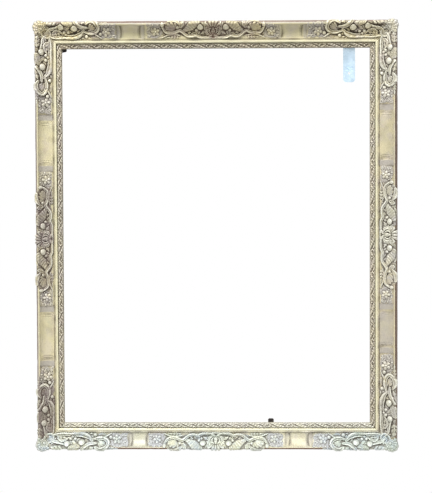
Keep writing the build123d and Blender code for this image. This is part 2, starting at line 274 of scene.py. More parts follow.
@dataclass
class Wrap:
    """The face that ornament lies on: the hollow, over the lip and down the side, unrolled to one length."""

    moulding: Moulding
    knots: Grid = field(init=False)

    def __post_init__(self) -> None:
        """Lay out the knots: unrolled place, across, height and the way the relief rises, in degrees."""
        m = self.moulding
        side = m.arc((m.front, m.shoulder), (m.width, m.side_foot), -m.side_hollow, 24)[1:16]
        path = np.vstack([m.lip_arc(14), side])
        run = np.cumsum([m.panel_end, *np.hypot(*np.diff(path, axis=0).T)])
        path[0] += (-0.2, 0.2)
        run[0] -= 0.2
        flat = np.linspace(m.panel_start - 1, 42.0, 40)
        table = np.vstack([np.column_stack([flat, flat, m.face(flat)]), np.column_stack([run, path])])
        self.knots = np.column_stack([table, 86 * ease(table[:, 0], 42.5, 50.5)])

    def surface(self, unrolled: Grid, rise: Grid) -> tuple[Grid, Grid]:
        """Find where relief ends up.

        Args:
            unrolled: Places across, unrolled, in millimetres.
            rise: Height of the relief there.

        Returns:
            The places across and the heights from the back.
        """
        places, *columns = self.knots.T
        across, height, lean = (np.interp(unrolled, places, column) for column in columns)
        return across + rise * np.sin(np.radians(lean)), height + rise * np.cos(np.radians(lean))


# Relief


@dataclass
class Relief:
    """Carved forms over a patch of the moulding, as heights in millimetres above its face."""

    start: float
    end: float
    low: float
    high: float
    pitch: float = 0.5
    seed: int = 1
    along: Grid = field(init=False)
    unrolled: Grid = field(init=False)
    across: Grid = field(init=False)
    height: Grid = field(init=False)
    ash: Grid = field(init=False)

    def __post_init__(self) -> None:
        """Make the empty grid, well under the face."""
        self.along = np.linspace(self.start, self.end, int((self.end - self.start) / self.pitch) + 1)
        self.unrolled = np.linspace(self.low, self.high, int((self.high - self.low) / self.pitch) + 1)
        self.across = np.where(self.unrolled < LIP, self.unrolled, LIP + (self.unrolled - LIP) / LIP_STRETCH)
        self.height = np.full((len(self.along), len(self.across)), EMPTY)
        self.ash = np.zeros(self.height.shape)

    def window(self, points: Grid, margin: float) -> tuple[tuple[slice, slice], Grid, Grid]:
        """Cut out the part of the grid round some points.

        Args:
            points: The points, one row each.
            margin: How far the part reaches past them.

        Returns:
            The part's slices, and its places along and across.
        """
        low, high = points.min(axis=0) - margin, points.max(axis=0) + margin
        rows = slice(*np.searchsorted(self.along, (low[0], high[0])))
        columns = slice(*np.searchsorted(self.across, (low[1], high[1])))
        t, w = np.meshgrid(self.along[rows], self.across[columns], indexing="ij")
        return (rows, columns), t, w

    def lay(self, part: tuple[slice, slice], form: Grid, gap: Grid, groove: float) -> None:
        """Lay a form over what is there: the higher wins, and a groove is cut round it.

        Args:
            part: Slices of the grid.
            form: Height of the form there.
            gap: Distance outside the form's edge.
            groove: Depth of the groove.
        """
        here = self.height[part]
        cut = groove * bump(np.maximum(gap, 0), 1.1) * (here > 0)
        self.height[part] = np.maximum(np.maximum(here - cut, np.minimum(here, 0.3)), form)

    def ground(self, ovals: Sequence[Oval]) -> None:
        """Low ground made of overlapping ovals.

        Args:
            ovals: Middle along and across, then half length and half width of each.
        """
        for t0, w0, a, b in ovals:
            part, t, w = self.window(np.array([[t0 - a, w0 - b], [t0 + a, w0 + b]]), 3)
            q = np.hypot((t - t0) / a, (w - w0) / b)
            edge = (q - 1) * min(a, b)
            body = GROUND * (1 - np.exp(-np.maximum(-edge, 0) / 0.8)) - np.maximum(edge, 0) * 3
            lean = t * math.cos(0.35 * t0) + w * math.sin(0.35 * t0)
            comb = np.abs(np.sin(0.9 * lean + 0.8 * ripple(t, w, self.seed, 9)))
            body = body + (0.22 * ripple(t, w, self.seed, 7) - 0.35 * (1 - comb) ** 2) * (q < 1)
            self.height[part] = np.maximum(self.height[part], body)

    def stroke(
        self, points: Points, widths: Sequence[float], base: Sequence[float], rise: float, *,
        groove: float = 0.9, ribs: float = 0, depth: float = 0.0, slant: float = 2.2,
        twist: bool = False, lobes: float = 0.0, vein: float = 0.0, hand: int = 0,
    ) -> None:
        """A scroll rim, leaf or stem along a curve.

        Args:
            points: The curve's places along and across.
            widths: Half widths, evenly spaced along it.
            base: Heights of its edge, evenly spaced along it.
            rise: Height of its crown above the edge.
            groove: Depth of the groove that it cuts round itself.
            ribs: How many ribs cross it.
            depth: Depth between the ribs.
            slant: How much the ribs slope.
            twist: Whether the ribs go right across, as on twisted rope.
            lobes: Share of the width that the notches between ribs take.
            vein: Depth of the groove along its middle.
            hand: Which side the roll of a scroll rim lies on, over a hollow and a thin edge; 0 for none.
        """
        path = smooth_path(points)
        steps = np.hypot(*np.diff(path, axis=0).T)
        share = np.concatenate([[0], np.cumsum(steps)]) / steps.sum()
        part, t, w = self.window(path, max(widths) + 2.5)
        dt, dw = t[..., None] - path[:, 0], w[..., None] - path[:, 1]
        gap = np.hypot(dt, dw)
        near = gap.argmin(-1)
        d = np.take_along_axis(gap, near[..., None], -1)[..., 0]
        way = np.gradient(path, axis=0)
        turn = way[near, 0] * np.take_along_axis(dw, near[..., None], -1)[..., 0]
        turn -= way[near, 1] * np.take_along_axis(dt, near[..., None], -1)[..., 0]
        side = np.sign(turn)
        a = share[near]
        spots = np.linspace(0, 1, len(widths))
        half = np.interp(a, spots, widths)
        phase = 2 * math.pi * ribs * a
        if lobes:
            half = half * (1 - lobes * (1 - np.abs(np.cos(phase / 2 - slant / 2))))
        x = d / np.maximum(half, 0.05)
        level = np.interp(a, np.linspace(0, 1, len(base)), base)
        if hand:
            place = side * x * hand
            body = level + rise * np.maximum(dome((place - 0.38) / 0.62), 0.66 * dome((place + 0.80) / 0.20))
        else:
            body = level + rise * dome(x)
        inside = np.clip(1 - x, 0, 1) ** 0.35
        if ribs:
            lean = side * x if twist else x
            body -= depth * (0.5 + 0.5 * np.cos(phase - slant * lean)) ** 2 * inside
        if vein:
            body -= vein * bump(d, 0.6) * np.clip(half / 1.5 - 0.4, 0, 1)
        out = np.maximum(d - half, 0)
        self.lay(part, np.where(x < 1, body, level - out * 4), d - half, groove)

    def leaf(self, points: Points, width: float, base: float, rise: float, lobes: int = 4) -> None:
        """A lobed leaf: pairs of lobes that point forwards along a vein, and a lobe at the tip.

        Args:
            points: The vein's places along and across, from the stalk to the tip.
            width: Half width of the leaf where it is widest.
            base: Height of its edge.
            rise: Height of the lobes above the edge.
            lobes: How many pairs of lobes.
        """
        path = smooth_path(points, 16)
        way = np.gradient(path, axis=0)
        way /= np.linalg.norm(way, axis=1)[:, None]
        rib = path[:: max(1, len(path) // 6)]
        widths = (0.35 * width, 0.80 * width, 0.62 * width, 0.15 * width)
        self.stroke(rib, widths, (base, base - 0.2), 0.7)
        for k in range(lobes):
            share = (k + 0.25) / (lobes + 0.35)
            n = int(share * (len(path) - 1))
            size = width * (0.62 + 0.5 * math.sin(math.pi * min(share * 1.25 + 0.12, 1.0)))
            for hand in (-1, 1):
                lean = hand * math.radians(52 - 16 * share)
                c, v = math.cos(lean), math.sin(lean)
                go = np.array([way[n, 0] * c - way[n, 1] * v, way[n, 0] * v + way[n, 1] * c])
                start = path[n] - 0.12 * size * way[n]
                bend = start + go * 0.62 * size + way[n] * 0.06 * size
                lobe = [start, bend, start + go * 1.12 * size + way[n] * 0.34 * size]
                widths = (0.24 * size, 0.46 * size, 0.20 * size)
                self.stroke(lobe, widths, (base + 0.3, base), rise * (1 - 0.2 * share), vein=0.45, groove=0.6)
        back = max(0, int(0.72 * (len(path) - 1)))
        end = [path[back], path[(back + len(path) - 1) // 2], path[-1]]
        widths = (0.2 * width, 0.40 * width, 0.12 * width)
        self.stroke(end, widths, (base + 0.4, base), rise, vein=0.4, groove=0.7)
        widths = (0.16 * width, 0.14 * width, 0.06 * width)
        self.stroke(rib, widths, (base + 0.5 * rise, base + 0.2), 0.9, groove=0.3)

    def ball(
        self, middle: Spot, radius: float, base: float,
        curl: float = 1.0, start: float = 0.0, squash: float = 1.0,
    ) -> None:
        """A ball, or the curled end of a scroll.

        Args:
            middle: Its place.
            radius: Its radius.
            base: Height of its edge.
            curl: Depth of the spiral cut into it, and the way it winds by its sign.
            start: Where the spiral starts, in turns.
            squash: Its width across the rail, as a share of its width along it.
        """
        part, t, w = self.window(np.array([middle]), radius + 3)
        r = np.hypot(t - middle[0], (w - middle[1]) / squash)
        x = r / radius
        body = base + 0.82 * radius * dome(x)
        if curl:
            turn = np.arctan2(w - middle[1], (t - middle[0]) * math.copysign(1, curl)) / (2 * math.pi)
            off = 0.5 - np.abs((turn + 1.3 * x + start) % 1 - 0.5)
            line = np.exp(-((off * radius * 7.5 * np.maximum(x, 0.2)) ** 2))
            body -= abs(curl) * 1.3 * line * ease(x, 0.10, 0.30) * (1 - ease(x, 0.88, 1))
        self.lay(part, np.where(x < 1, body, base - (r - radius) * 5), r - radius, 1.3)

    def flower(self, middle: Spot, radius: float, petals: int, base: float, turn: float) -> None:
        """An open flower with round petals and a button.

        Args:
            middle: Its place.
            radius: Its radius.
            petals: How many petals.
            base: Height of its edge.
            turn: How far it is turned, in radians.
        """
        part, t, w = self.window(np.array([middle]), radius + 3)
        r = np.hypot(t - middle[0], w - middle[1])
        angle = np.arctan2(w - middle[1], t - middle[0]) + turn
        lobe = np.abs(np.cos(petals * angle / 2))
        edge = radius * (0.56 + 0.44 * lobe**0.7)
        x = r / edge
        body = base + 2.3 * np.clip(1 - (1.25 * x - 0.45) ** 2, 0, None) * (0.35 + 0.65 * lobe**0.8)
        body -= 0.35 * (0.5 + 0.5 * np.cos(petals * 4 * angle)) * ease(x, 0.3, 0.7)
        y = r / (0.27 * radius)
        button = base + 0.6 + 0.30 * radius * dome(y) - 0.25 * np.cos(7 * angle) * ease(y, 0.3, 0.8)
        body = np.where(y < 1, np.maximum(body, button), body - 0.9 * bump(y - 1.15, 0.2))
        self.lay(part, np.where(x < 1, body, base - (r - edge) * 4), r - edge, 0.8)

    def dots(self, low: Spot, high: Spot, level: float, pitch: float = 2.3) -> None:
        """Ground beaten with a round punch, with a soft edge.

        Args:
            low: Lowest place along and across.
            high: Highest place along and across.
            level: Height of the ground.
            pitch: Distance between the punch marks.
        """
        part, t, w = self.window(np.array([low, high]), 0)
        middle, half = (np.array(low) + high) / 2, (np.array(high) - low) / 2
        q = np.maximum(np.abs(t - middle[0]) / half[0], np.abs(w - middle[1]) / half[1])
        q = q + 0.10 * ripple(t, w, self.seed + 5, 12)
        row = np.floor(w / (pitch * 0.87))
        x = (t / pitch + 0.5 * (row % 2)) % 1 - 0.5
        y = (w / (pitch * 0.87)) % 1 - 0.5
        x += 0.12 * np.sin(9.1 * row + 3.3 * np.floor(t / pitch))
        mark = np.exp(-((x * x + y * y) / 0.055))
        body = level * (1 - ease(q, 0.8, 1.0) * 1.6) + 0.45 * mark * (1 - ease(q, 0.75, 0.95))
        self.height[part] = np.maximum(self.height[part], np.where(q < 1, body, EMPTY))
        self.ash[part] = np.maximum(self.ash[part], 1 - ease(q, 0.9, 1.2))

    def finish(self) -> tuple[Grid, Grid]:
        """Add the hand's unevenness and read how deep and how proud each place lies.

        Returns:
            How dark and how light each place is painted, each from 0 to 1: toning and painted shade in
            hollows and on low ground, rubbing and painted highlights on crests.
        """
        t, w = np.meshgrid(self.along, self.across, indexing="ij")
        outside = self.height < -1.5
        self.height = blur(np.maximum(self.height, -1.0), 0.34 / self.pitch)
        self.height += 0.10 * ripple(t, w, self.seed + 11, 5.0) + 0.06 * ripple(t, w, self.seed + 12, 2.2)
        self.height[outside] = np.minimum(self.height[outside], -0.6)
        rise = np.clip(self.height, -0.2, None)
        fine, wide = blur(rise, 1.0 / self.pitch), blur(rise, 3.6 / self.pitch)
        # Hollows and low ground are painted darker, as toning and painted shade; crests lighter, as rubbing
        # and painted highlights
        low = 1 - ease(rise, 0.6, 2.2)
        deep = np.clip(0.50 * (fine - rise) + 0.36 * (wide - rise) + 0.22 * low * (1 - 0.6 * self.ash), 0, 1)
        proud = np.clip(0.70 * (rise - fine) + 0.20 * (rise - wide), 0, 1)
        return deep, proud


# Meshes


@dataclass
class Body:
    """Vertices, faces and colour values of one closed form, painted light and shade among them, in a rail's
    own frame, in millimetres.

    A face of three corners has its last one twice.
    """

    points: Grid
    quads: Grid
    deep: Grid
    proud: Grid
    tone: Grid

    def moved(self, along: float) -> "Body":
        """The same form, moved along the rail."""
        return replace(self, points=self.points + (along, 0, 0))

    def mirrored(self) -> "Body":
        """The same form, mirrored along the rail."""
        return replace(self, points=self.points * (-1, 1, 1), quads=self.quads[:, ::-1])

    def across_mitre(self) -> "Body":
        """The same form, mirrored about the top left mitre."""
        return replace(self, points=self.points[:, [2, 1, 0]] * (-1, 1, -1), quads=self.quads[:, ::-1])

    def placed(self, place: Side | Corner, moulding: Moulding) -> "Body":
        """Turn the form to its side or corner and move it there.

        Args:
            place: The side or corner that the form, drawn at the top or top left, belongs to.
            moulding: The moulding, for the size of the opening.

        Returns:
            The placed form, in the model's frame but still in millimetres.
        """
        c, s = round(math.cos(math.radians(place.value))), round(math.sin(math.radians(place.value)))
        x, y, z = self.points.T
        right, up = place.way[0] * moulding.half_width, place.way[1] * moulding.half_height
        return replace(self, points=np.stack([x * c + z * s + right, y, z * c - x * s + up], -1))


def joined(bodies: Sequence[Body]) -> Body:
    """Put several forms into one.

    Args:
        bodies: The forms.

    Returns:
        The joined form.
    """
    starts = np.cumsum([0] + [len(b.points) for b in bodies[:-1]])
    quads = np.vstack([b.quads + start for b, start in zip(bodies, starts)])
    points, deep, proud, tone = (
        np.concatenate([getattr(b, name) for b in bodies]) for name in ("points", "deep", "proud", "tone")
    )
    return Body(points, quads, deep, proud, tone)


def long_body(
    t: Grid, across: Grid, height: Grid, outline: Grid, values: Sequence[Grid], turned: bool = False,
) -> Body:
    """Close a long form whose rows are sections.

    Args:
        t: Places along the rail, sections by points.
        across: Places across it.
        height: Heights from the back.
        outline: The section that fills its ends.
        values: Its darkening by toning and painted shade, lightening by rubbing and painted highlights, and
            tone.
        turned: Whether the sections run the other way round.

    Returns:
        The closed form.
    """
    grid = np.arange(t.size).reshape(t.shape)
    after = np.roll(grid, -1, axis=1)
    quads = np.stack([grid[:-1], after[:-1], after[1:], grid[1:]], -1).reshape(-1, 4)
    corners = np.array(tessellate_polygon([[Vector((float(x), float(y), 0.0)) for x, y in outline]]))
    sides, ends = [0, 1, 2, 3], [[2, 1, 0, 0], [1, 2, 0, 0]]
    if turned:
        sides, ends = [0, 3, 2, 1], ends[::-1]
    caps = [ring[corners][:, order] for ring, order in zip((grid[0], grid[-1]), ends)]
    points = np.stack([t, -height, across], -1).reshape(-1, 3)
    return Body(points, np.vstack([quads[:, sides], *caps]), *(value.ravel() for value in values))


def linked(name: str, data: bpy.types.ID) -> Piece:
    """Make an object and link it to the scene.

    Args:
        name: Its name.
        data: Its mesh, lamp or camera.

    Returns:
        The object.
    """
    piece = bpy.data.objects.new(name, data)
    bpy.context.scene.collection.objects.link(piece)
    return piece


def mesh_object(name: str, body: Body, finishes: Sequence[Finish], second: Grid | None = None) -> Piece:
    """Make a Blender object of a form.

    Args:
        name: Name of the object.
        body: The placed form, in millimetres.
        finishes: Its materials, the main one first.
        second: Which faces take the second material.

    Returns:
        The object, linked to the scene.
    """
    mesh = bpy.data.meshes.new(name)
    quads = body.quads.astype(np.int32)
    used = np.ones(quads.shape, bool)
    used[:, 3] = quads[:, 2] != quads[:, 3]
    starts = np.concatenate([[0], np.cumsum(used.sum(axis=1))[:-1]])
    mesh.vertices.add(len(body.points))
    mesh.vertices.foreach_set("co", (body.points * MM).astype(np.float32).ravel())
    mesh.loops.add(int(used.sum()))
    mesh.loops.foreach_set("vertex_index", quads[used])
    mesh.polygons.add(len(quads))
    mesh.polygons.foreach_set("loop_start", starts.astype(np.int32))
    mesh.update(calc_edges=True)
    mesh.polygons.foreach_set("use_smooth", np.ones(len(quads), bool))
    if second is not None:
        mesh.polygons.foreach_set("material_index", second.astype(np.int32))
    for label in ("deep", "proud", "tone"):
        values = getattr(body, label).astype(np.float32)
        mesh.attributes.new(label, "FLOAT", "POINT").data.foreach_set("value", values)
    for finish in finishes:
        mesh.materials.append(finish)
    mesh.validate()
    return linked(name, mesh)


def relief_body(relief: Relief, wrap: Wrap, tone: float = 0.0) -> Body:
    """Close a relief into a solid form that is let a little into the moulding.

    Args:
        relief: The carved heights.
        wrap: The face that they lie on.
        tone: How brown or ashy the whole form is; its brown serves as painted shade on ornament that faces
            down.

    Returns:
        The closed form, in the rail's frame.
    """
    deep, proud = relief.finish()
    height, used = relief.height, np.zeros(relief.height.shape, bool)
    top = np.maximum.reduce([height[:-1, :-1], height[1:, :-1], height[:-1, 1:], height[1:, 1:]])
    keep = top > -0.35
    while True:
        one = keep[:-1, :-1] & keep[1:, 1:] & ~keep[1:, :-1] & ~keep[:-1, 1:]
        two = keep[1:, :-1] & keep[:-1, 1:] & ~keep[:-1, :-1] & ~keep[1:, 1:]
        if not (one.any() or two.any()):
            break
        keep[1:, :-1] |= one
        keep[:-1, :-1] |= two
    rise = np.maximum(height, -0.6)
    t, w = np.meshgrid(relief.along, relief.unrolled, indexing="ij")
    for di in (0, 1):
        for dj in (0, 1):
            used[di:di + keep.shape[0], dj:dj + keep.shape[1]] |= keep
    index, count = np.full(height.shape, -1), int(used.sum())
    index[used] = np.arange(count)
    layers = []
    for level in (rise, np.full_like(rise, -1.3)):
        across, out = wrap.surface(w[used], level[used])
        layers.append(np.stack([t[used], -out, across], -1))
    i, j = np.nonzero(keep)
    a, b, c, d = index[i, j], index[i + 1, j], index[i + 1, j + 1], index[i, j + 1]
    faces = [np.stack([a, b, c, d], -1), np.stack([a, d, c, b], -1) + count]
    padded = np.pad(keep, 1)
    inner = padded[1:-1, 1:-1]
    for gone, first, second in (
        (padded[:-2, 1:-1], (0, 1), (0, 0)), (padded[2:, 1:-1], (1, 0), (1, 1)),
        (padded[1:-1, :-2], (0, 0), (1, 0)), (padded[1:-1, 2:], (1, 1), (0, 1)),
    ):
        i, j = np.nonzero(inner & ~gone)
        p, q = index[i + first[0], j + first[1]], index[i + second[0], j + second[1]]
        faces.append(np.stack([q, p, p + count, q + count], -1))
    ashy = tone - relief.ash * (1 - 0.6 * ease(height, 1.5, 2.8)) - 0.55 * ease(relief.unrolled, 45.5, 49.5)
    return Body(np.vstack(layers), np.vstack(faces), *(np.tile(v[used], 2) for v in (deep, proud, ashy)))


def round_body(
    middle: Spot, edge: Grid, height: Grid, deep: Grid, proud: Grid,
    sink: int, floor: Grid, inset: float = 0.07,
) -> Body:
    """Close a form drawn round a middle point, such as a shell or a curl.

    Args:
        middle: Its middle, along X and Z of the corner's frame.
        edge: Radius of its outline at even angles.
        height: Height from the back, rings by angles, from the middle out.
        deep: Darkening by toning and painted shade, rings by angles.
            proud: Lightening by rubbing and painted highlights, rings by angles.
        sink: How many rings its wall has.
        floor: Height of its underside at each angle.
        inset: Share that the outline shrinks by down the wall.

    Returns:
        The closed form.
    """
    rings, turns = height.shape
    angle = np.linspace(0, 2 * math.pi, turns, endpoint=False)
    rho = np.linspace(0, 1, rings)[1:, None]
    layers = [(rho[k - 1, 0] * edge, height[k]) for k in range(1, rings)]
    deeps, prouds = list(deep[1:]), list(proud[1:])
    for k in range(1, sink + 1):
        s = k / sink
        layers.append((edge * (1 - inset * s), height[-1] * (1 - s) + floor * s))
        # The wall is painted darker as it goes down, as shade
        deeps.append(np.clip(deep[-1] + 0.3 * s, 0, 1))
        prouds.append(proud[-1] * (1 - s))
    c, s = np.cos(angle), np.sin(angle)
    points = [np.stack([middle[0] + r * c, -v, middle[1] + r * s], -1) for r, v in layers]
    count = len(points)
    top = np.array([[middle[0], -height[0].mean(), middle[1]]])
    under = np.array([[middle[0], -float(floor.mean()), middle[1]]])
    around = np.arange(turns)
    after = (around + 1) % turns
    faces = []
    for ring in range(0, (count - 1) * turns, turns):
        faces.append(np.stack([ring + around, ring + turns + around, ring + turns + after, ring + after], -1))
    centre, base = count * turns, count * turns + 1
    pairs = np.arange(0, turns, 2)
    ahead, last = (pairs + 2) % turns, (count - 1) * turns
    faces.append(np.stack([np.full(len(pairs), centre), pairs, pairs + 1, ahead], -1))
    faces.append(np.stack([np.full(len(pairs), base), last + ahead, last + pairs + 1, last + pairs], -1))
    # The underside is painted fully dark, as shade
    return Body(
        np.vstack(points + [top, under]), np.vstack(faces),
        np.concatenate(deeps + [[deep[0].mean(), 1.0]]), np.concatenate(prouds + [[proud[0].mean(), 0.0]]),
        np.zeros(count * turns + 2),
    )


# Materials


class Socket:
    """One output of a tree's nodes, which takes part in Python sums."""

    def __init__(self, shader: "Shader", link: bpy.types.NodeSocket) -> None:
        """Keep the output and the tree that it belongs to."""
        self.shader, self.link = shader, link

    def math(self, operation: str, first: "Socket | float", second: "Socket | float") -> "Socket":
        """Add a Math node for one operation."""
        return self.shader.add("ShaderNodeMath", {"operation": operation}, {0: first, 1: second})

    def __add__(self, other: "Socket | float") -> "Socket":
        """Self + other."""
        return self.math("ADD", self, other)

    __radd__ = __add__

    def __sub__(self, other: "Socket | float") -> "Socket":
        """Self - other."""
        return self.math("SUBTRACT", self, other)

    def __rsub__(self, other: "Socket | float") -> "Socket":
        """Other - self."""
        return self.math("SUBTRACT", other, self)

    def __mul__(self, other: "Socket | float") -> "Socket":
        """Self * other."""
        return self.math("MULTIPLY", self, other)

    __rmul__ = __mul__

    def ramp(self, low: float, high: float) -> "Socket":
        """Go smoothly from 0 at low to 1 at high."""
        inputs = {"Value": self, "From Min": low, "From Max": high}
        return self.shader.add("ShaderNodeMapRange", {"interpolation_type": "SMOOTHSTEP"}, inputs)


Inputs = dict[str | int, Socket | float | tuple]


class Shader:
    """The nodes of a material or of the world, under construction."""

    def __init__(self, owner: Finish | bpy.types.World) -> None:
        """Start with no nodes.

        Args:
            owner: The new material or world.
        """
        owner.use_nodes = True
        self.owner, self.tree = owner, owner.node_tree
        self.tree.nodes.clear()

    def add(
        self, kind: str, settings: dict[str, object] | None = None, inputs: Inputs | None = None,
        output: str | int = 0,
    ) -> Socket:
        """Add one node.

        Args:
            kind: The node's type.
            settings: Its settings.
            inputs: Values or links of its sockets, by name or number.
            output: Which output to hand back.

        Returns:
            That output.
        """
        node = self.tree.nodes.new(kind)
        for key, value in (settings or {}).items():
            setattr(node, key, value)
        for key, value in (inputs or {}).items():
            socket = node.inputs[key]
            if isinstance(value, Socket):
                self.tree.links.new(value.link, socket)
            elif isinstance(value, tuple) and socket.type == "RGBA":
                socket.default_value = (*value, 1.0)
            else:
                socket.default_value = value
        return Socket(self, node.outputs[output])

    def mix(self, share: Socket | float, first: Socket | Colour, second: Socket | Colour) -> Socket:
        """Mix two colours: the first where the share is 0, the second where it is 1."""
        return self.add("ShaderNodeMix", {"data_type": "RGBA"}, {0: share, 6: first, 7: second}, 2)

    def value(self, name: str) -> Socket:
        """A finish value that the mesh carries."""
        return self.add("ShaderNodeAttribute", {"attribute_name": name}, output="Fac")

    def place(self) -> Socket:
        """Place in the piece's own space, in metres."""
        return self.add("ShaderNodeTexCoord", output="Object")

    def noise(
        self, scale: float, detail: float = 3.0, rough: float = 0.55, place: Socket | None = None,
    ) -> Socket:
        """Soft noise.

        Args:
            scale: Waves to a metre.
            detail: How many finer layers it has.
            rough: Share of each finer layer.
            place: Where it is read, if not in the piece's own space.

        Returns:
            Values between 0 and 1, most of them near the middle.
        """
        inputs = {"Vector": place or self.place(), "Scale": scale, "Detail": detail, "Roughness": rough}
        return self.add("ShaderNodeTexNoise", None, inputs)

    def stretched(self, scale: Colour, turn: Colour = (0.0, 0.0, 0.0)) -> Socket:
        """The piece's own space, turned and stretched."""
        return self.add("ShaderNodeMapping", None, {"Vector": self.place(), "Rotation": turn, "Scale": scale})

    def white(self, share: Socket | float = 1.0) -> Socket:
        """Where a backdrop has to look white.

        Args:
            share: How far it does so to the camera.

        Returns:
            That share for what the camera sees, 1 in a mirror or through glass and 0 for other light.
        """
        kinds = ("Camera", "Glossy", "Transmission")
        seen, mirrored, through = (self.add("ShaderNodeLightPath", output=f"Is {kind} Ray") for kind in kinds)
        return seen.math("MAXIMUM", seen * share, seen.math("MAXIMUM", mirrored, through))

    def skin(self, inputs: Inputs, bumps: Sequence[tuple[Socket, float, float]]) -> Finish:
        """Finish with the main shader.

        Args:
            inputs: Its sockets.
            bumps: Height, strength and distance in metres of each layer of bump.

        Returns:
            The material.
        """
        for height, strength, distance in bumps:
            below = {"Normal": inputs["Normal"]} if "Normal" in inputs else {}
            sockets = {"Height": height, "Strength": strength, "Distance": distance, **below}
            inputs = {**inputs, "Normal": self.add("ShaderNodeBump", None, sockets)}
        return self.close(self.add("ShaderNodeBsdfPrincipled", None, inputs))

    def close(self, surface: Socket, output: str = "ShaderNodeOutputMaterial") -> Finish | bpy.types.World:
        """Link a surface to the output.

        Args:
            surface: The surface.
            output: The output's type.

        Returns:
            The finished material or world.
        """
        self.tree.links.new(surface.link, self.tree.nodes.new(output).inputs["Surface"])
        return self.owner


@dataclass(frozen=True)
class Gilding:
    """Old bronze-gold gilding: darkened in its hollows by toning and painted shade, lightened on its crests
    by rubbing and painted highlights, ashy or brown by its tone, which also carries painted light and shade.
    """

    name: str
    gold: Colour = (0.765, 0.69, 0.44)
    olive: Colour = (0.62, 0.57, 0.36)
    lilac: Colour = (0.62, 0.55, 0.50)
    # Colour of the crests: rubbing and painted highlights
    light: Colour = (0.88, 0.84, 0.60)
    # Colour of the hollows: toning and painted shade
    crevice: Colour = (0.080, 0.060, 0.040)
    green: Colour = (0.50, 0.50, 0.36)
    rose: Colour = (0.56, 0.46, 0.38)
    # Brown of the bole and its wash, also used as painted shade on the lip and on ornament that faces down
    bole: Colour = (0.20, 0.125, 0.085)
    wash: Colour = (0.36, 0.29, 0.23)
    ash: Colour = (0.45, 0.42, 0.385)
    metal: float = 0.25
    lilac_share: float = 0.55

    @cache
    def material(self) -> Finish:
        """Build the material, once.

        Returns:
            The material, the same one each time.
        """
        s = Shader(bpy.data.materials.new(self.name))
        deep, proud, tone = s.value("deep"), s.value("proud"), s.value("tone")
        cloud, patch, fleck = s.noise(9, 3), s.noise(48, 4, 0.6), s.noise(420, 3, 0.65)
        greenish, rosy = s.noise(33, 3, 0.6), s.noise(27, 3, 0.6, s.stretched((1, 1, 1), (0.4, 0.9, 0.2)))
        colour = s.mix(cloud.ramp(0.36, 0.66), self.gold, self.olive)
        colour = s.mix(patch.ramp(0.42, 0.68) * self.lilac_share, colour, self.lilac)
        colour = s.mix(greenish.ramp(0.50, 0.72) * 0.45, colour, self.green)
        colour = s.mix(rosy.ramp(0.52, 0.72) * 0.40, colour, self.rose)
        # Tone under 0 turns the gilding ashy; on the lip of the top and left rails this is painted light
        ashy = (0 - tone + patch * 0.5 - 0.25).ramp(0.10, 0.85)
        colour = s.mix(ashy * 0.80, colour, self.ash)
        colour = s.mix(fleck.ramp(0.54, 0.80) * 0.30, colour, self.crevice)
        # Hollows go towards the crevice colour: toning, and painted shade
        colour = s.mix((deep * 1.15 + fleck * 0.25 - 0.12).ramp(0.08, 0.95), colour, self.crevice)
        # Crests go towards the light colour: rubbing, and painted highlights
        crest_tint = (proud * 1.5 + patch * 0.30 - 0.15).ramp(0.12, 1.15)
        colour = s.mix(crest_tint * 0.8, colour, self.light)
        # Tone over 0 turns it brown: bole on the outer sides, and painted shade on the lip of the right and
        # bottom rails and on ornament that faces down
        brown = (tone * 1.15 + fleck * 0.45 + patch * 0.5 - 0.50).ramp(0.30, 0.70) * (1 - crest_tint * 0.55)
        streak = s.noise(16, 4, 0.65, s.stretched((1.0, 7.0, 1.0)))
        wash = s.mix(streak.ramp(0.40, 0.70), self.bole, self.wash)
        wash = s.mix(fleck.ramp(0.58, 0.74) * 0.6, wash, self.crevice)
        colour = s.mix(brown, colour, wash)
        metal = (1 - deep.ramp(0.05, 0.5)) * (1 - brown) * (1 - ashy * 0.7) * self.metal
        rough = 0.46 + deep * 0.30 - crest_tint * 0.12 + fleck * 0.12 + brown * 0.2
        inputs = {"Base Color": colour, "Metallic": metal, "Roughness": rough, "Specular IOR Level": 0.35}
        return s.skin(inputs, [(fleck, 0.3, 0.0003), (s.noise(1500, 2), 0.2, 0.0001)])


@dataclass(frozen=True)
class BareWood:
    """Old bare softwood of the back, with grain and dust."""

    name: str
    upright: bool
    light: Colour = (0.44, 0.30, 0.175)
    dark: Colour = (0.24, 0.15, 0.082)
    pores: Colour = (0.12, 0.075, 0.045)
    dust: Colour = (0.31, 0.26, 0.21)
    slant: float = 0.0
    run: float = 1.2
    cross: float = 26.0

    def material(self) -> Finish:
        """Build the material.

        Returns:
            The material.
        """
        s = Shader(bpy.data.materials.new(self.name))
        scale = (self.cross, self.cross, self.run) if self.upright else (self.run, self.cross, self.cross)
        place = s.stretched(scale, (0.0, self.slant, 0.0))
        bend = s.noise(1.1, 3, 0.5, place)
        ring = s.add(
            "ShaderNodeTexWave", {"bands_direction": "X" if self.upright else "Z", "wave_profile": "SAW"},
            {"Vector": place, "Scale": 2.3, "Distortion": 11.0, "Detail": 3.0, "Detail Scale": 0.55},
        )
        fibre, pore = s.noise(14, 4, 0.7, place), s.noise(46, 3, 0.6, place)
        dust, stain = s.noise(22, 4, 0.6), s.noise(5, 4, 0.65)
        colour = s.mix((ring * 0.40 + bend * 0.50).ramp(0.20, 0.85), self.light, self.dark)
        colour = s.mix(fibre.ramp(0.42, 0.72) * 0.45, colour, self.dark)
        colour = s.mix(pore.ramp(0.56, 0.72) * 0.55, colour, self.pores)
        colour = s.mix(stain.ramp(0.52, 0.72) * 0.40, colour, self.dark)
        colour = s.mix(dust.ramp(0.5, 0.75) * 0.40, colour, self.dust)
        inputs = {"Base Color": colour, "Roughness": 0.72 + fibre * 0.15, "Specular IOR Level": 0.25}
        return s.skin(inputs, [(fibre * 0.5 + pore + ring * 0.08, 0.5, 0.0003)])


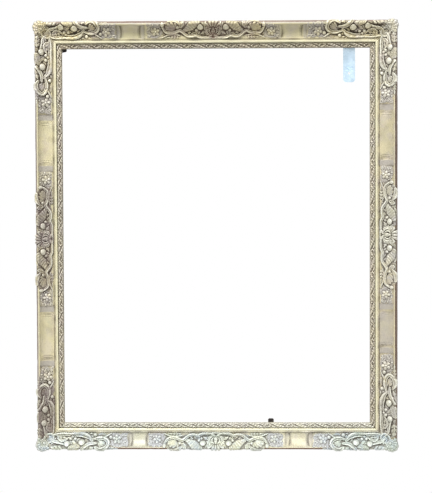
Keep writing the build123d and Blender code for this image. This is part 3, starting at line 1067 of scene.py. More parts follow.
@dataclass(frozen=True)
class Metal:
    """Plain worked metal of the fittings, with its tarnish."""

    name: str
    clean: Colour
    stained: Colour
    metal: float
    rough: float
    speckle: float = 0.5

    def material(self) -> Finish:
        """Build the material.

        Returns:
            The material.
        """
        s = Shader(bpy.data.materials.new(self.name))
        cloud, grain = s.noise(55, 4, 0.6), s.noise(700, 3, 0.6)
        drawn = s.noise(60, 3, 0.6, s.stretched((12.0, 4.0, 0.6)))
        colour = s.mix(cloud.ramp(0.35, 0.7), self.clean, self.stained)
        colour = s.mix(grain.ramp(0.55, 0.8) * self.speckle, colour, self.stained)
        rough = self.rough + cloud * 0.16 + grain * 0.08 - 0.1
        inputs = {"Base Color": colour, "Metallic": self.metal, "Roughness": rough}
        return s.skin(inputs, [(drawn + grain * 0.5, 0.25, 0.00015)])


# How each place is finished and laid out. Places along a rail are in millimetres from its middle


def shades(
    name: str, gold: Colour, olive: Colour, lilac: Colour, light: Colour = Gilding.light, share: float = 0.6,
    **others: Colour | float,
) -> Gilding:
    """One tint of the gilding.

    Args:
        name: Name of the material.
        gold: Its main colour.
        olive: The darker colour that it drifts to.
        lilac: The duller colour of its patches.
        light: Colour of its crests, for rubbing and painted highlights.
        share: How strong the patches are.
        others: Its other fields.

    Returns:
        The gilding.
    """
    return Gilding(f"{name}_gilt", gold, olive, lilac, light, lilac_share=share, **others)


PLAIN_GILT = Gilding("moulding_gilt", lilac_share=0.35)
# Gilding of each rail's face: its copies differ partly in real dirt and wear and partly as painted light,
# paler with lighter hollows on the bottom rail, which faces up to the light, and darker on the right rail
FACE_GILT = {
    Side.TOP: PLAIN_GILT,
    Side.RIGHT: shades(
        "right_moulding", (0.72, 0.64, 0.42), (0.57, 0.52, 0.34), (0.56, 0.50, 0.46), share=0.50,
    ),
    Side.BOTTOM: shades(
        "bottom_moulding", (0.78, 0.74, 0.53), (0.66, 0.65, 0.50), (0.64, 0.62, 0.60), share=0.45,
        crevice=(0.13, 0.11, 0.09),
    ),
    Side.LEFT: PLAIN_GILT,
}
PLAIN_STRIP = shades("strip", (0.57, 0.51, 0.37), (0.45, 0.41, 0.31), (0.48, 0.43, 0.42), (0.86, 0.82, 0.70))
# Gilding of each sight strip: darker on the top rail, as painted shade where the strip faces down, and paler
# with lighter hollows on the bottom rail, as painted light where it faces up
STRIP_GILT = {
    Side.TOP: shades(
        "top_strip", (0.50, 0.43, 0.29), (0.38, 0.34, 0.25), (0.42, 0.37, 0.35), (0.80, 0.75, 0.61),
    ),
    Side.RIGHT: PLAIN_STRIP,
    Side.BOTTOM: shades(
        "bottom_strip", (0.66, 0.63, 0.50), (0.55, 0.55, 0.46), (0.60, 0.58, 0.56), (0.88, 0.87, 0.77),
        crevice=(0.19, 0.17, 0.14),
    ),
    Side.LEFT: PLAIN_STRIP,
}
# Gilding of each rail's ornament: browner and darker on the top rail, paler with lighter hollows on the
# bottom and right rails; partly real dirt and wear, partly painted light where the light washes the bottom
# and right
ORNAMENT_GILT = {
    Side.TOP: shades(
        "top_ornament", (0.62, 0.53, 0.30), (0.46, 0.41, 0.27), (0.47, 0.42, 0.41), (0.90, 0.86, 0.66), 0.70,
        metal=0.30,
    ),
    Side.RIGHT: shades(
        "right_ornament", (0.62, 0.56, 0.40), (0.50, 0.48, 0.38), (0.50, 0.48, 0.47), (0.86, 0.85, 0.74),
        0.80, crevice=(0.16, 0.14, 0.115),
    ),
    Side.BOTTOM: shades(
        "bottom_ornament", (0.61, 0.60, 0.44), (0.48, 0.54, 0.49), (0.46, 0.54, 0.62), (0.78, 0.81, 0.74),
        0.85, crevice=(0.23, 0.22, 0.19), green=(0.52, 0.59, 0.46), rose=(0.60, 0.52, 0.46),
        ash=(0.54, 0.54, 0.55),
    ),
    Side.LEFT: shades(
        "left_ornament", (0.61, 0.54, 0.35), (0.44, 0.41, 0.31), (0.44, 0.40, 0.41), (0.88, 0.86, 0.73), 0.85,
        wash=(0.33, 0.28, 0.26), bole=(0.20, 0.15, 0.13),
    ),
}
# Where the face of each rail is plain, along the rail
PLAIN = {
    Side.TOP: ((-189.0, -135.5), (118.5, 174.0)), Side.RIGHT: ((-252.0, -134.0), (129.0, 225.0)),
    Side.BOTTOM: ((-184.0, -132.0), (128.0, 170.0)), Side.LEFT: ((-250.0, -133.0), (125.0, 234.5)),
}
# How ashy each plain face is, and how ashy its ends are
DULLNESS = {Side.TOP: (0.0, 0.3), Side.RIGHT: (0.15, 0.58), Side.BOTTOM: (0.0, 0.0), Side.LEFT: (0.0, 0.0)}
END_ASH = {Side.TOP: 0.55, Side.RIGHT: 0.8, Side.BOTTOM: 0.45, Side.LEFT: 0.9}
# How wide the ornament lies across each rail, as a share of its plan
LIFTS = {Side.TOP: 1.05, Side.RIGHT: 0.91, Side.BOTTOM: 0.98, Side.LEFT: 0.93}
# For each rail: how far its middle ornament sits from the middle, its scale, and its sprays' names
CENTRES = {
    Side.TOP: (-4.0, 1.0, ("top_left", "top_right")),
    Side.RIGHT: (-2.5, 1.035, ("right_upper", "right_lower")),
    Side.BOTTOM: (2.0, 1.02, ("bottom_right", "bottom_left")),
    Side.LEFT: (-4.0, 1.02, ("left_lower", "left_upper")),
}
# How brown the middle ornament of each rail is painted, and how much of that its sprays show; on the top
# rail, whose ornament faces down, this brown is painted shade
BROWNING = {Side.TOP: 0.56, Side.RIGHT: 0.12, Side.BOTTOM: 0.0, Side.LEFT: 0.67}
SPRAY_BROWNING = 0.7
# How long each corner spray is, as a share of its plan: on the corner's own rail, then on its neighbour
STRETCH = {
    Corner.TOP_LEFT: (0.985, 1.105), Corner.TOP_RIGHT: (0.997, 1.077),
    Corner.BOTTOM_RIGHT: (1.015, 1.164), Corner.BOTTOM_LEFT: (1.01, 1.10),
}
# How brown each corner spray is painted, in the same order
CORNER_BROWNING = {
    Corner.TOP_LEFT: (0.10, 0.0), Corner.TOP_RIGHT: (0.10, 0.10),
    Corner.BOTTOM_RIGHT: (0.0, 0.10), Corner.BOTTOM_LEFT: (0.53, 0.0),
}


# The frame's sub-assemblies


def dress(piece: Piece, node: str) -> Piece:
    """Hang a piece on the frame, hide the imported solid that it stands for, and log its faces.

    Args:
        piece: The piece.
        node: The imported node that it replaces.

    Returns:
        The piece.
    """
    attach(piece, "frame")
    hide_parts(node)
    log.info("%s: %d faces", piece.name, len(piece.data.polygons))
    return piece


@dataclass
class Rail:
    """One rail of the moulding, with its engraved panels."""

    side: Side
    moulding: Moulding
    seed: int
    fine: float = 0.55
    coarse: float = 3.0
    joint: float = 0.10
    key_play: float = 1.006
    mitre_rows: int = 26
    hatch_pitch: float = 2.7
    end_radius: float = 27.0
    end_lines: tuple[tuple[float, float], ...] = ((13.0, 0.45), (15.2, 0.65), (17.6, 0.6), (21.0, 0.4))
    end_matt: float = 11.5
    knocks: int = 16

    def section(self) -> tuple[Grid, Grid, Grid, Grid]:
        """The rail's section.

        Returns:
            Its points, the way out of the face at each, and how dark and light each is painted: painted shade
            along the steps, burnish and a painted highlight on the bead, a painted highlight on the lip.
        """
        m = self.moulding
        panel, foot = (m.panel_end, m.panel_outer), (m.width, m.side_foot)
        quirk = (m.bead_end - 0.1, m.fillet_inner + 1.1)
        points = np.vstack([
            m.arc((m.rebate_width, 0.0), (m.width - 0.5, 0), 0, 8), m.arc((m.width, 0.5), foot, 0, 4),
            m.arc(foot, (m.front, m.shoulder), m.side_hollow, 15)[1:], m.lip_arc(13)[::-1][1:],
            m.arc((m.panel_end, m.panel_outer + 0.3), panel, 0, 2), m.panel(46)[1:],
            m.arc((m.panel_start - 0.25, m.panel_inner), (m.fillet_end + 0.15, m.fillet_outer - 0.4), 0, 4),
            m.arc((m.fillet_end, m.fillet_outer - 0.2), (m.bead_end, m.fillet_inner + 0.9), 0.15, 6),
            m.arc(quirk, (m.fillet_start, m.fillet_inner), -m.bead_crown, 11),
            m.arc((m.fillet_start, m.fillet_inner - 0.4), (m.fillet_start, m.seat), 0, 4),
            m.arc((m.fillet_start - 0.6, m.seat), (0, m.seat), 0, 5),
            m.arc((0, m.seat - 0.4), (0, m.rebate_depth), 0, 3),
            m.arc((0.6, m.rebate_depth), (m.rebate_width, m.rebate_depth), 0, 4),
            m.arc((m.rebate_width, m.rebate_depth - 0.6), (m.rebate_width, 0.7), 0, 4),
        ])
        way = np.roll(points, -1, axis=0) - np.roll(points, 1, axis=0)
        out = np.stack([way[:, 1], -way[:, 0]], -1)
        out /= np.linalg.norm(out, axis=1)[:, None]
        u, v = points.T
        deep, proud = np.zeros(len(points)), np.zeros(len(points))
        # Dark bands along the steps of the section: painted shade
        for place, height, width, depth in (
            (m.panel_start - 0.2, m.panel_inner, 0.8, 0.80), (m.panel_end - 0.2, m.panel_outer, 0.8, 0.50),
            (m.fillet_end - 0.6, m.fillet_outer, 1.1, 0.42),
            (m.fillet_start, m.fillet_inner - 4.0, 2.4, 0.60),
            (m.fillet_end + 0.1, m.fillet_outer - 1.4, 0.8, 0.40),
            (m.bead_end, m.fillet_inner + 1.0, 0.6, 0.55),
        ):
            deep = np.maximum(deep, depth * np.exp(-(((u - place) ** 2 + (v - height) ** 2) / width**2)))
        # The bead is painted lighter, as burnish and a painted highlight, and the top of the lip too, as a
        # painted highlight
        bead = (u > m.fillet_start - 0.1) & (u < m.bead_end - 0.3) & (v > m.fillet_inner - 0.2)
        deep[bead] = 0
        proud[bead] = 0.66
        proud[(v > m.shoulder + 1.0) & (u > m.panel_end - 0.1) & (u < m.front - 1.7)] = 0.26
        return points, out, deep, proud

    def stations(self) -> Grid:
        """Lay out places along the rail.

        Returns:
            The places, close together where the panel is engraved.
        """
        half = self.moulding.half(self.side) - 24
        edges = [-half, *[p for low, high in PLAIN[self.side] for p in (low - 3, high + 3)], half]
        places = []
        for k, (low, high) in enumerate(zip(edges[:-1], edges[1:])):
            count = int((high - low) / (self.fine if k % 2 else self.coarse))
            places.append(np.linspace(low, high, max(2, count), endpoint=False))
        return np.concatenate(places + [[half]])

    def engraving(self, t: Grid, u: Grid) -> Grid:
        """Depth of the crossed cuts and of the curved lines at the panels' ends.

        Args:
            t: Places along the rail.
            u: Places across it.

        Returns:
            The depth at each place.
        """
        m = self.moulding
        across = within(u, m.panel_start, m.panel_end, 0.8, 2.2)
        depth = np.zeros(np.broadcast(t, u).shape)
        off_middle = u - (m.panel_start + m.panel_end) / 2
        bow = self.end_radius - np.sqrt(np.maximum(self.end_radius**2 - off_middle**2, 0))
        dot = np.hypot((t / 2.3 + 0.5 * (np.floor(u / 2.0) % 2)) % 1 - 0.5, (u / 2.0) % 1 - 0.5)
        for low, high in PLAIN[self.side]:
            matt = self.end_zone(t, low, high)
            for lean in (1, -1):
                line = np.abs(((t + lean * u) / self.hatch_pitch) % 1 - 0.5) * 2
                depth += 0.17 * bump(line, 0.38) * (within(t, low, high, 1, 4) * across * (1 - matt))
            for end, way in ((low, 1), (high, -1)):
                for gap, cut in self.end_lines:
                    off = (t - end) * way - gap * self.crowding(low, high) + bow * 0.75
                    depth += cut * bump(off, 0.62) * across
                depth += 0.22 * bump(dot, 0.26) * matt * across
        return depth

    def crowding(self, low: float, high: float) -> float:
        """How much the lines at the ends of a panel move together on a short one."""
        return min(1.0, (high - low) / 90)

    def end_zone(self, t: Grid, low: float, high: float) -> Grid:
        """Find the matt zones between the ornament and the curved lines.

        Args:
            t: Places along the rail.
            low: Where the plain face starts.
            high: Where it ends.

        Returns:
            1 in the zones at both ends of the face, 0 elsewhere.
        """
        reach = self.end_matt * self.crowding(low, high)
        near = np.where((t > low) & (t < high), np.minimum(np.abs(t - low), np.abs(t - high)), 99.0)
        return 1 - ease(near, reach - 2.0, reach + 2.0)

    def cut_key_slots(self, piece: Piece, keys: Sequence[Piece]) -> None:
        """Cut slots for the corner keys into the rail's back.

        Args:
            piece: The rail's object.
            keys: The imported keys, which the slots follow.
        """
        form = bmesh.new()
        for key in keys:
            places = np.array([key.matrix_world @ v.co for v in key.data.vertices])
            corners = np.unique(places.round(6), axis=0)
            middle = corners.mean(axis=0)
            corners = middle + (corners - middle) * self.key_play
            corners[corners[:, 1] > middle[1], 1] += MM
            bmesh.ops.convex_hull(form, input=[form.verts.new(corner) for corner in corners])
        bmesh.ops.recalc_face_normals(form, faces=form.faces)
        for face in form.faces:
            face.material_index = 1
        mesh = bpy.data.meshes.new("key_slots")
        form.to_mesh(mesh)
        form.free()
        cutter = linked("key_slots", mesh)
        cut = piece.modifiers.new("key_slots", "BOOLEAN")
        cut.operation, cut.solver, cut.object = "DIFFERENCE", "MANIFOLD", cutter
        bpy.context.view_layer.update()
        result = bpy.data.meshes.new_from_object(piece.evaluated_get(bpy.context.evaluated_depsgraph_get()))
        piece.modifiers.remove(cut)
        bpy.data.objects.remove(cutter)
        old, piece.data = piece.data, result
        bpy.data.meshes.remove(old)
        result.name = piece.name

    def build(self, gilt: Finish, wood: Finish, keys: Sequence[Piece]) -> Piece:
        """Make the rail.

        Args:
            gilt: Finish of its face.
            wood: Finish of its back.
            keys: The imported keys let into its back.

        Returns:
            The rail's object.
        """
        m = self.moulding
        points, out, deep, proud = self.section()
        inner = self.stations()
        end = m.half(self.side) + points[:, 0] - self.joint
        right = inner[-1] + np.linspace(0, 1, self.mitre_rows)[1:, None] * (end - inner[-1])
        t = np.vstack([-right[::-1], np.repeat(inner[:, None], len(points), 1), right])
        u, v = (np.repeat(column[None], len(t), 0) for column in points.T)
        panel = (v > m.seat + 1) & (u > m.panel_start + 0.2) & (u < m.panel_end - 0.2)
        cut, knock = self.engraving(t, u) * panel, self.knock_depth(t, u, v)
        uneven = 0.10 * ripple(t, u * 3 + v * 2, self.seed, 60)
        uneven += 0.05 * ripple(t, u * 2 + v, self.seed + 1, 17)
        shift = uneven * ((v > 1.5) & (u > 0.2)) - cut - knock
        dirt = 0.10 * ripple(t, u, self.seed + 4, 25)
        # Engraved cuts are painted darker, as painted shade; the random dirt is real; the face beside and
        # under the ornament is darkened as dirt and painted shade
        deep = np.clip(deep[None] + 0.75 * cut + dirt + self.bed_dirt_and_shade(t, u, v), 0, 1)
        worn = 1 - 0.3 * np.clip(ripple(t, u, self.seed + 7, 30), 0, 1)
        proud = np.clip(proud[None] * worn - 0.3 * cut + 0.9 * knock, 0, 1)
        values = (deep, proud, self.tones(t, u, v, panel))
        body = long_body(t, u + out[:, 0] * shift, v + out[:, 1] * shift, points, values).placed(self.side, m)
        hidden = (v < 1.2) | ((u < m.rebate_width + 0.1) & (v < m.rebate_depth + 0.2))
        back = hidden.ravel()[body.quads].mean(axis=1) > 0.6
        piece = mesh_object(f"{self.side.label}_rail_moulding", body, [gilt, wood], back)
        self.cut_key_slots(piece, keys)
        return dress(piece, f"{self.side.label}_rail")

    def tones(self, t: Grid, u: Grid, v: Grid, panel: Grid) -> Grid:
        """Find how brown or ashy the face is, with painted light and shade on the lip's outer half.

        Args:
            t: Places along the rail.
            u: Places across it.
            v: Their heights from the back.
            panel: Which of them lie on the hollow face.

        Returns:
            The tone: 1 where the gilding is brown, under 0 where it is ashy.
        """
        m = self.moulding
        tone = (1 - ease(v, m.shoulder - 7, m.shoulder + 0.4)) * (u > m.front - 0.6)
        # The crest band paints the lip's outer half: brown on the right and bottom rails, as painted shade
        # away from the light, and ashy on the top and left rails, as painted light; on the bottom rail, where
        # the lip faces down, the shade reaches further in
        crest_tint = 1.3 if self.side is Side.BOTTOM else 0.0
        crest = ease(u, m.front - 2.2 - crest_tint, m.front - 0.9 - crest_tint) * (v > m.shoulder - 1)
        if self.side in (Side.RIGHT, Side.BOTTOM):
            tone = np.maximum(tone, crest)
        else:
            tone = tone - 0.9 * crest * (1 - tone)
        for (low, high), dull in zip(PLAIN[self.side], DULLNESS[self.side]):
            ashy = END_ASH[self.side] * self.end_zone(t, low, high) + dull * within(t, low, high, 8, 20)
            tone = tone - ashy * panel
        return tone

    def knock_depth(self, t: Grid, u: Grid, v: Grid) -> Grid:
        """Scatter small knocks along the lip and the outer foot.

        Args:
            t: Places along the rail.
            u: Places across it.
            v: Their heights from the back.

        Returns:
            How deep the gilding is worn through at each place.
        """
        m = self.moulding
        rng = np.random.default_rng(self.seed + 40)
        total = np.zeros(t.shape)
        reach = m.half(self.side) + 40
        for _ in range(self.knocks):
            place, size, depth = rng.uniform(-reach, reach), rng.uniform(1.2, 4.0), rng.uniform(0.25, 0.7)
            spot = (m.front - 1.5, m.shoulder + 1.6) if rng.random() < 0.65 else (m.width, m.side_foot)
            far = ((t - place) / size) ** 2 + ((u - spot[0]) / 1.6) ** 2 + ((v - spot[1]) / 1.6) ** 2
            total += depth * np.exp(-far)
        return total

    def bed_dirt_and_shade(self, t: Grid, u: Grid, v: Grid) -> Grid:
        """Darken the face beside the ornament's ends and under the ornament: dirt, and painted shade where
        the ornament meets and covers it.

        Args:
            t: Places along the rail.
            u: Places across it.
            v: Their heights from the back.

        Returns:
            The darkening that it adds.
        """
        m = self.moulding
        total, inside = np.zeros(t.shape), np.zeros(t.shape)
        for low, high in PLAIN[self.side]:
            total += 0.30 * (bump(t - low, 2.5) + bump(t - high, 2.5))
            inside += (t > low) & (t < high)
        total += 0.12 * (inside == 0)
        return total * (v > m.seat + 1) * (u > m.panel_start) * (u < m.panel_end)


@dataclass
class SightStrip:
    """The carved strip round the opening, on one rail."""

    side: Side
    moulding: Moulding
    seed: int
    period: float = 43.0
    pitch: float = 0.5
    joint: float = 0.08
    points: int = 23
    crown: float = 1.5
    bed: float = 0.05

    def tile(self) -> Relief:
        """Carve one length of the running leaf.

        Returns:
            The carving, with a margin at both ends.
        """
        r = Relief(-8, self.period + 8, -1, self.moulding.strip_width + 1, 0.35, seed=self.seed)
        r.height[:] = 0
        first = (
            (((-1, 8.4), (5, 7.0), (12, 4.6), (19, 2.0), (23.5, 1.2)), (1.4, 3.1, 3.0, 0.9), (0.3, 0.7, 0.3),
             1.6, {"ribs": 5, "depth": 1.5, "twist": True, "slant": 2.6, "lobes": 0.12}),
            (((1, 2.0), (7, 1.8), (13, 1.6)), (0.6, 1.4, 0.5), (0.2, 0.3), 1.1, {"groove": 0.8, "vein": 0.5}),
            (((14, 8.4), (19, 7.8), (24, 5.8)), (0.6, 1.6, 0.8), (0.2, 0.4), 1.3,
             {"groove": 0.8, "vein": 0.5}),
            (((24.6, 4.8), (27, 3.5), (30, 1.4)), (0.8, 1.5, 0.6), (0.4, 0.4), 1.4, {"vein": 0.3}),
            (((24.6, 4.8), (27, 6.1), (30, 8.2)), (0.8, 1.5, 0.6), (0.4, 0.4), 1.4, {"vein": 0.3}),
        )
        second = (
            (((30, 2.0), (34.5, 3.4), (40, 7.6)), (0.9, 2.4, 0.7), (0.3, 0.5), 1.4,
             {"ribs": 3, "depth": 1.2, "twist": True, "slant": 2.6}),
            (((31.5, 8.0), (35, 8.2), (38, 8.0)), (0.4, 1.1, 0.4), (0.2, 0.2), 1.0, {"groove": 0.6}),
        )
        for shift in (-self.period, 0, self.period):
            for points, widths, base, rise, more in first:
                r.stroke([(t + shift, u) for t, u in points], widths, base, rise, **more)
            r.ball((26.2 + shift, 4.8), 1.5, 0.8, curl=0)
            for points, widths, base, rise, more in second:
                r.stroke([(t + shift, u) for t, u in points], widths, base, rise, **more)
            r.ball((41.4 + shift, 3.6), 1.6, 0.5, curl=0)
            r.ball((38.6 + shift, 2.2), 1.2, 0.4, curl=0)
        return r

    def carving(self, t: Grid, u: Grid) -> Grid:
        """Repeat the carved length along the strip.

        Args:
            t: Places along the strip.
            u: Places across it.

        Returns:
            The carving's height at each place.
        """
        tile = self.tile()
        place = (t + 1000 * self.period) % self.period
        i = np.clip((place - tile.along[0]) / (tile.along[1] - tile.along[0]), 0, len(tile.along) - 2)
        j = np.clip((u - tile.across[0]) / (tile.across[1] - tile.across[0]), 0, len(tile.across) - 2)
        a, b = i.astype(int), j.astype(int)
        p, q, h = i - a, j - b, tile.height
        near, far = h[a, b] * (1 - p) + h[a + 1, b] * p, h[a, b + 1] * (1 - p) + h[a + 1, b + 1] * p
        return near * (1 - q) + far * q

    def build(self, gilt: Finish) -> Piece:
        """Make the strip.

        Args:
            gilt: Its finish.

        Returns:
            The strip's object.
        """
        m = self.moulding
        half, width = m.half(self.side), m.strip_width
        across = np.linspace(0.0, width, self.points)
        base = np.interp(across, (0, width), (m.strip_inner - 0.2, m.strip_outer - 0.2))
        base = base + self.crown * np.sin(np.pi * across / width) ** 0.6
        inner = np.linspace(-half + 4, half - 4, int((2 * half - 8) / self.pitch))
        end = (half + across - self.joint)[None]
        right = inner[-1] + np.linspace(0, 1, 24)[1:, None] * (end - inner[-1])
        t = np.vstack([-right[::-1], np.repeat(inner[:, None], len(across), 1), right])
        u = np.repeat(across[None], len(t), 0)
        fade = ease(u, 0.0, 1.2) * (1 - ease(u, width - 1.0, width))
        carved = np.clip(self.carving(t, u), -1.1, 2.8) * fade * (1 + 0.12 * ripple(t, u, self.seed, 40))
        carved = carved + 0.10 * ripple(t, u, self.seed + 1, 4.5)
        smooth, wide = blur(carved, 1.6), blur(carved, 5.0)
        # Hollows and both edges of the strip are painted darker: toning and painted shade; crests are painted
        # lighter: rubbing and painted highlights
        deep = np.clip(0.8 * (smooth - carved) + 0.5 * (wide - carved) + 0.16 + 0.3 * (1 - fade), 0, 1)
        proud = np.clip(0.7 * (carved - smooth) + 0.25 * (carved - wide), 0, 1)
        # The raised rim along the outer edge is painted lighter, as a painted highlight
        rim = ease(u, width - 1.7, width - 1.2) * (1 - ease(u, width - 0.5, width))
        deep, proud = deep * (1 - 0.9 * rim), np.clip(proud + 0.55 * rim, 0, 1)
        v = base[None] + carved + 0.5 * rim
        low = np.full((len(t), 1), m.seat + self.bed)
        outer, inmost = [self.points - 1], [0]
        loops = [(t, v, u, deep, proud)]
        # The walls and underside are painted dark, as shade
        for edge, level, dark in (
            (outer, 0.66, 0.6), (outer, 0.33, 0.6), (outer + [self.points // 2] + inmost, 0.0, 0.8),
            (inmost, 0.33, 0.35), (inmost, 0.66, 0.35),
        ):
            wall = low + (v[:, edge] - low) * level
            loops.append((t[:, edge], wall, u[:, edge], np.full(wall.shape, dark), np.zeros(wall.shape)))
        t, v, u, deep, proud = (np.hstack(part) for part in zip(*loops))
        body = long_body(t, u, v, np.stack([u[0], v[0]], -1), (deep, proud, np.zeros(t.shape)), turned=True)
        piece = mesh_object(f"{self.side.label}_sight_carving", body.placed(self.side, m), [gilt])
        return dress(piece, f"{self.side.label}_sight_strip")


@dataclass
class Ornament:
    """Carved ornament on a side or corner, drawn at the top or top left."""

    wrap: Wrap
    place: Place
    seed: int

    def names(self) -> tuple[str, str]:
        """Name of the piece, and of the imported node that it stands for."""
        raise NotImplementedError

    def body(self) -> Body:
        """The closed form, as drawn."""
        raise NotImplementedError

    def build(self, gilt: Finish) -> Piece:
        """Make the piece.

        Args:
            gilt: Its finish.

        Returns:
            Its object.
        """
        name, node = self.names()
        piece = mesh_object(name, self.body().placed(self.place, self.wrap.moulding), [gilt])
        return dress(piece, node)


@dataclass
class Spray(Ornament):
    """Leafwork along a rail: the plan that its carving follows."""

    scale: float = 1.0
    lift: float = 1.0
    shift: float = 0.0
    brown: float = 0.0

    def at(self, points: Points) -> Points:
        """Turn places on the plan into places on the relief."""
        return [(a * self.scale + self.shift, FIXED_LINE + (u - FIXED_LINE) * self.lift) for a, u in points]

    def bed(self, r: Relief, *table: Oval) -> None:
        """Lay the low ground, given as ovals on the plan."""
        r.ground([(*self.at([(a, u)])[0], half * self.scale, width) for a, u, half, width in table])

    def leaves(self, r: Relief, *table: tuple[Points, float, float, float, int]) -> None:
        """Carve leaves, given as a vein on the plan, half width, base, rise and pairs of lobes."""
        for points, *sizes in table:
            r.leaf(self.at(points), *sizes)

    def rim(
        self, r: Relief, points: Points, widths: Sequence[float], base: Sequence[float], rise: float,
        **more: float,
    ) -> None:
        """Carve a stroke, given as a curve on the plan."""
        r.stroke(self.at(points), widths, base, rise, **more)

    def ball(self, r: Relief, place: Spot, radius: float, base: float, **more: float) -> None:
        """Carve a ball, given by its place on the plan."""
        r.ball(self.at([place])[0], radius, base, **more)


@dataclass
class CornerSpray(Spray):
    """The spray that runs from a corner along one rail."""

    side: Side = Side.TOP
    length: float = 161.5

    def carve(self) -> Relief:
        """Carve the spray on the face of the top rail, with the corner at its left end.

        Returns:
            The carving.
        """
        r = Relief(-36.0, self.at([(self.length, 30)])[0][0] + 7, 17.9, 54.6, seed=self.seed)
        self.bed(
            r, (27, 31, 12, 10), (45, 35, 13, 13), (64, 34, 14, 15), (82, 34, 13, 15), (100, 34, 13, 15.5),
            (90, 45, 12, 8), (116, 32, 12, 13), (104, 47, 10, 6), (60, 47, 16, 5), (36, 45, 13, 6),
        )
        r.dots(*self.at([(123, 19.0), (161.5, 46.0)]), 1.0)
        self.leaves(
            r,
            (((57, 36), (67, 35), (77, 30.5)), 5.4, 1.0, 1.4, 3),
            (((86, 31), (90, 35), (92, 39.5)), 4.0, 1.0, 1.3, 2),
            (((84, 22.2), (92, 20.8), (99, 20.4)), 3.2, 0.9, 1.2, 3),
            (((44, 46.8), (34, 47.6), (25.5, 45.2)), 4.8, 1.2, 1.7, 3),
            (((56, 49), (66, 47.4), (77, 41.5)), 6.4, 1.5, 1.8, 5),
            (((80, 49.6), (90, 48.4), (100, 45.8)), 4.6, 1.3, 1.5, 3),
            (((36, 25.0), (44, 27.4), (54, 30.0)), 4.4, 1.6, 1.6, 3),
            (((27, 40), (29, 34.5), (34, 30.0)), 3.4, 1.4, 1.5, 2),
        )
        self.rim(r, ((25.5, 31), (30, 35.5), (38, 36.9), (46, 38.5), (54, 42)),
                 (1.4, 2.9, 3.0, 2.4), (2.2, 3.0, 3.0), 2.2, groove=1.6, hand=1)
        self.rim(r, ((36.8, 30.0), (43.5, 34.0), (50.5, 32.8), (57.5, 27.2)),
                 (1.0, 2.6, 2.2, 0.9), (2.2, 2.7, 2.2), 2.0, groove=1.5, hand=1)
        for lean in range(-3, 4):
            c, v = math.cos(0.42 * lean - 0.15), math.sin(0.42 * lean - 0.15)
            flute = [(107.5, 37.8), (107.5 + 6.5 * c, 37.8 + 4.6 * v), (107.5 + 12.6 * c, 37.8 + 8.2 * v)]
            self.rim(r, flute, (0.8, 1.5, 1.5), (1.4, 1.8, 1.4), 0.9, groove=0.7)
        self.rim(r, ((29, 23.4), (45, 21.6), (63, 22.4), (78.5, 22.0), (91, 26.6), (98.0, 34.0)),
                 (2.0, 3.3, 3.5, 4.6, 5.2, 2.2), (1.4, 1.8, 2.2, 2.8, 2.8), 2.3,
                 ribs=8, depth=0.55, slant=3.0, groove=1.9, hand=-1)
        self.rim(r, ((79, 47.5), (86, 43.2), (94, 39.4), (104.5, 39.0)),
                 (1.8, 2.9, 3.0, 1.8), (2.0, 2.8, 2.4), 2.1, groove=1.6, hand=1)
        loop = ((103, 45.0), (112, 48.2), (121.8, 45.6), (126, 38), (121, 31.2), (110.5, 28.9), (99.0, 31.6))
        self.rim(r, loop, (1.6, 2.7, 3.3, 3.6, 3.5, 3.1, 1.8), (2.0, 2.4, 2.6, 2.4, 2.0), 2.3,
                 groove=1.8, hand=1)
        for a, u, radius in ((59.6, 30.4, 2.8), (68.0, 30.8, 2.4), (63.2, 26.4, 2.0)):
            self.ball(r, (a, u), radius + 0.7, 1.3, curl=-0.8, start=0.1 * a)
        self.leaves(r, (((97, 28.0), (100, 23.5), (104, 19.6)), 2.6, 1.1, 1.2, 2))
        self.ball(r, (103.2, 23.2), 3.5, 1.3, curl=0.8)
        self.rim(r, ((117.5, 28.9), (124, 25.0), (132.5, 19.8)), (1.3, 1.8, 0.8), (1.5, 1.0), 1.5, groove=1.2)
        self.ball(r, (53.4, 39.2), 6.1, 2.3, curl=0.8, start=0.15, squash=0.80)
        self.ball(r, (79.4, 37.2), 6.6, 2.3, curl=0.8, start=0.3, squash=0.82)
        self.leaves(
            r, (((146.5, 34), (152, 37.0), (158, 34.6)), 3.4, 1.0, 1.3, 2),
            (((146.5, 28), (152, 24.2), (159, 25.0)), 3.4, 1.0, 1.3, 2),
        )
        r.flower(self.at([(141.2, 31.2)])[0], 9.0, 5, 1.6, turn=0.4)
        self.ball(r, (130.4, 27.8), 3.4, 1.2, curl=-0.8, start=0.5)
        for a, u, radius in ((137.0, 43.6, 1.5), (146.8, 43.2, 1.7), (129.6, 40.6, 1.5), (155.5, 41.0, 1.4)):
            self.ball(r, (a, u), radius, 1.0, curl=0)
        self.leaves(r, (((121, 48.6), (132, 47.9), (144, 48.0)), 2.6, 0.7, 1.0, 4))
        t, w = np.meshgrid(r.along, r.unrolled, indexing="ij")
        across = np.interp(w, *self.wrap.knots.T[:2])
        r.height = np.where((t + across < 0.25) | (t < -35.5), EMPTY, r.height)
        return r

    def names(self) -> tuple[str, str]:
        """Name of the piece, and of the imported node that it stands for."""
        place = f"{self.place.label}_on_{self.side.label}"
        return f"corner_leafwork_{place}", f"corner_spray_{place}"

    def body(self) -> Body:
        """The closed form, mirrored if it runs along the corner's second rail."""
        body = relief_body(self.carve(), self.wrap, self.brown)
        return body.across_mitre() if self.side is self.place.rails[1] else body


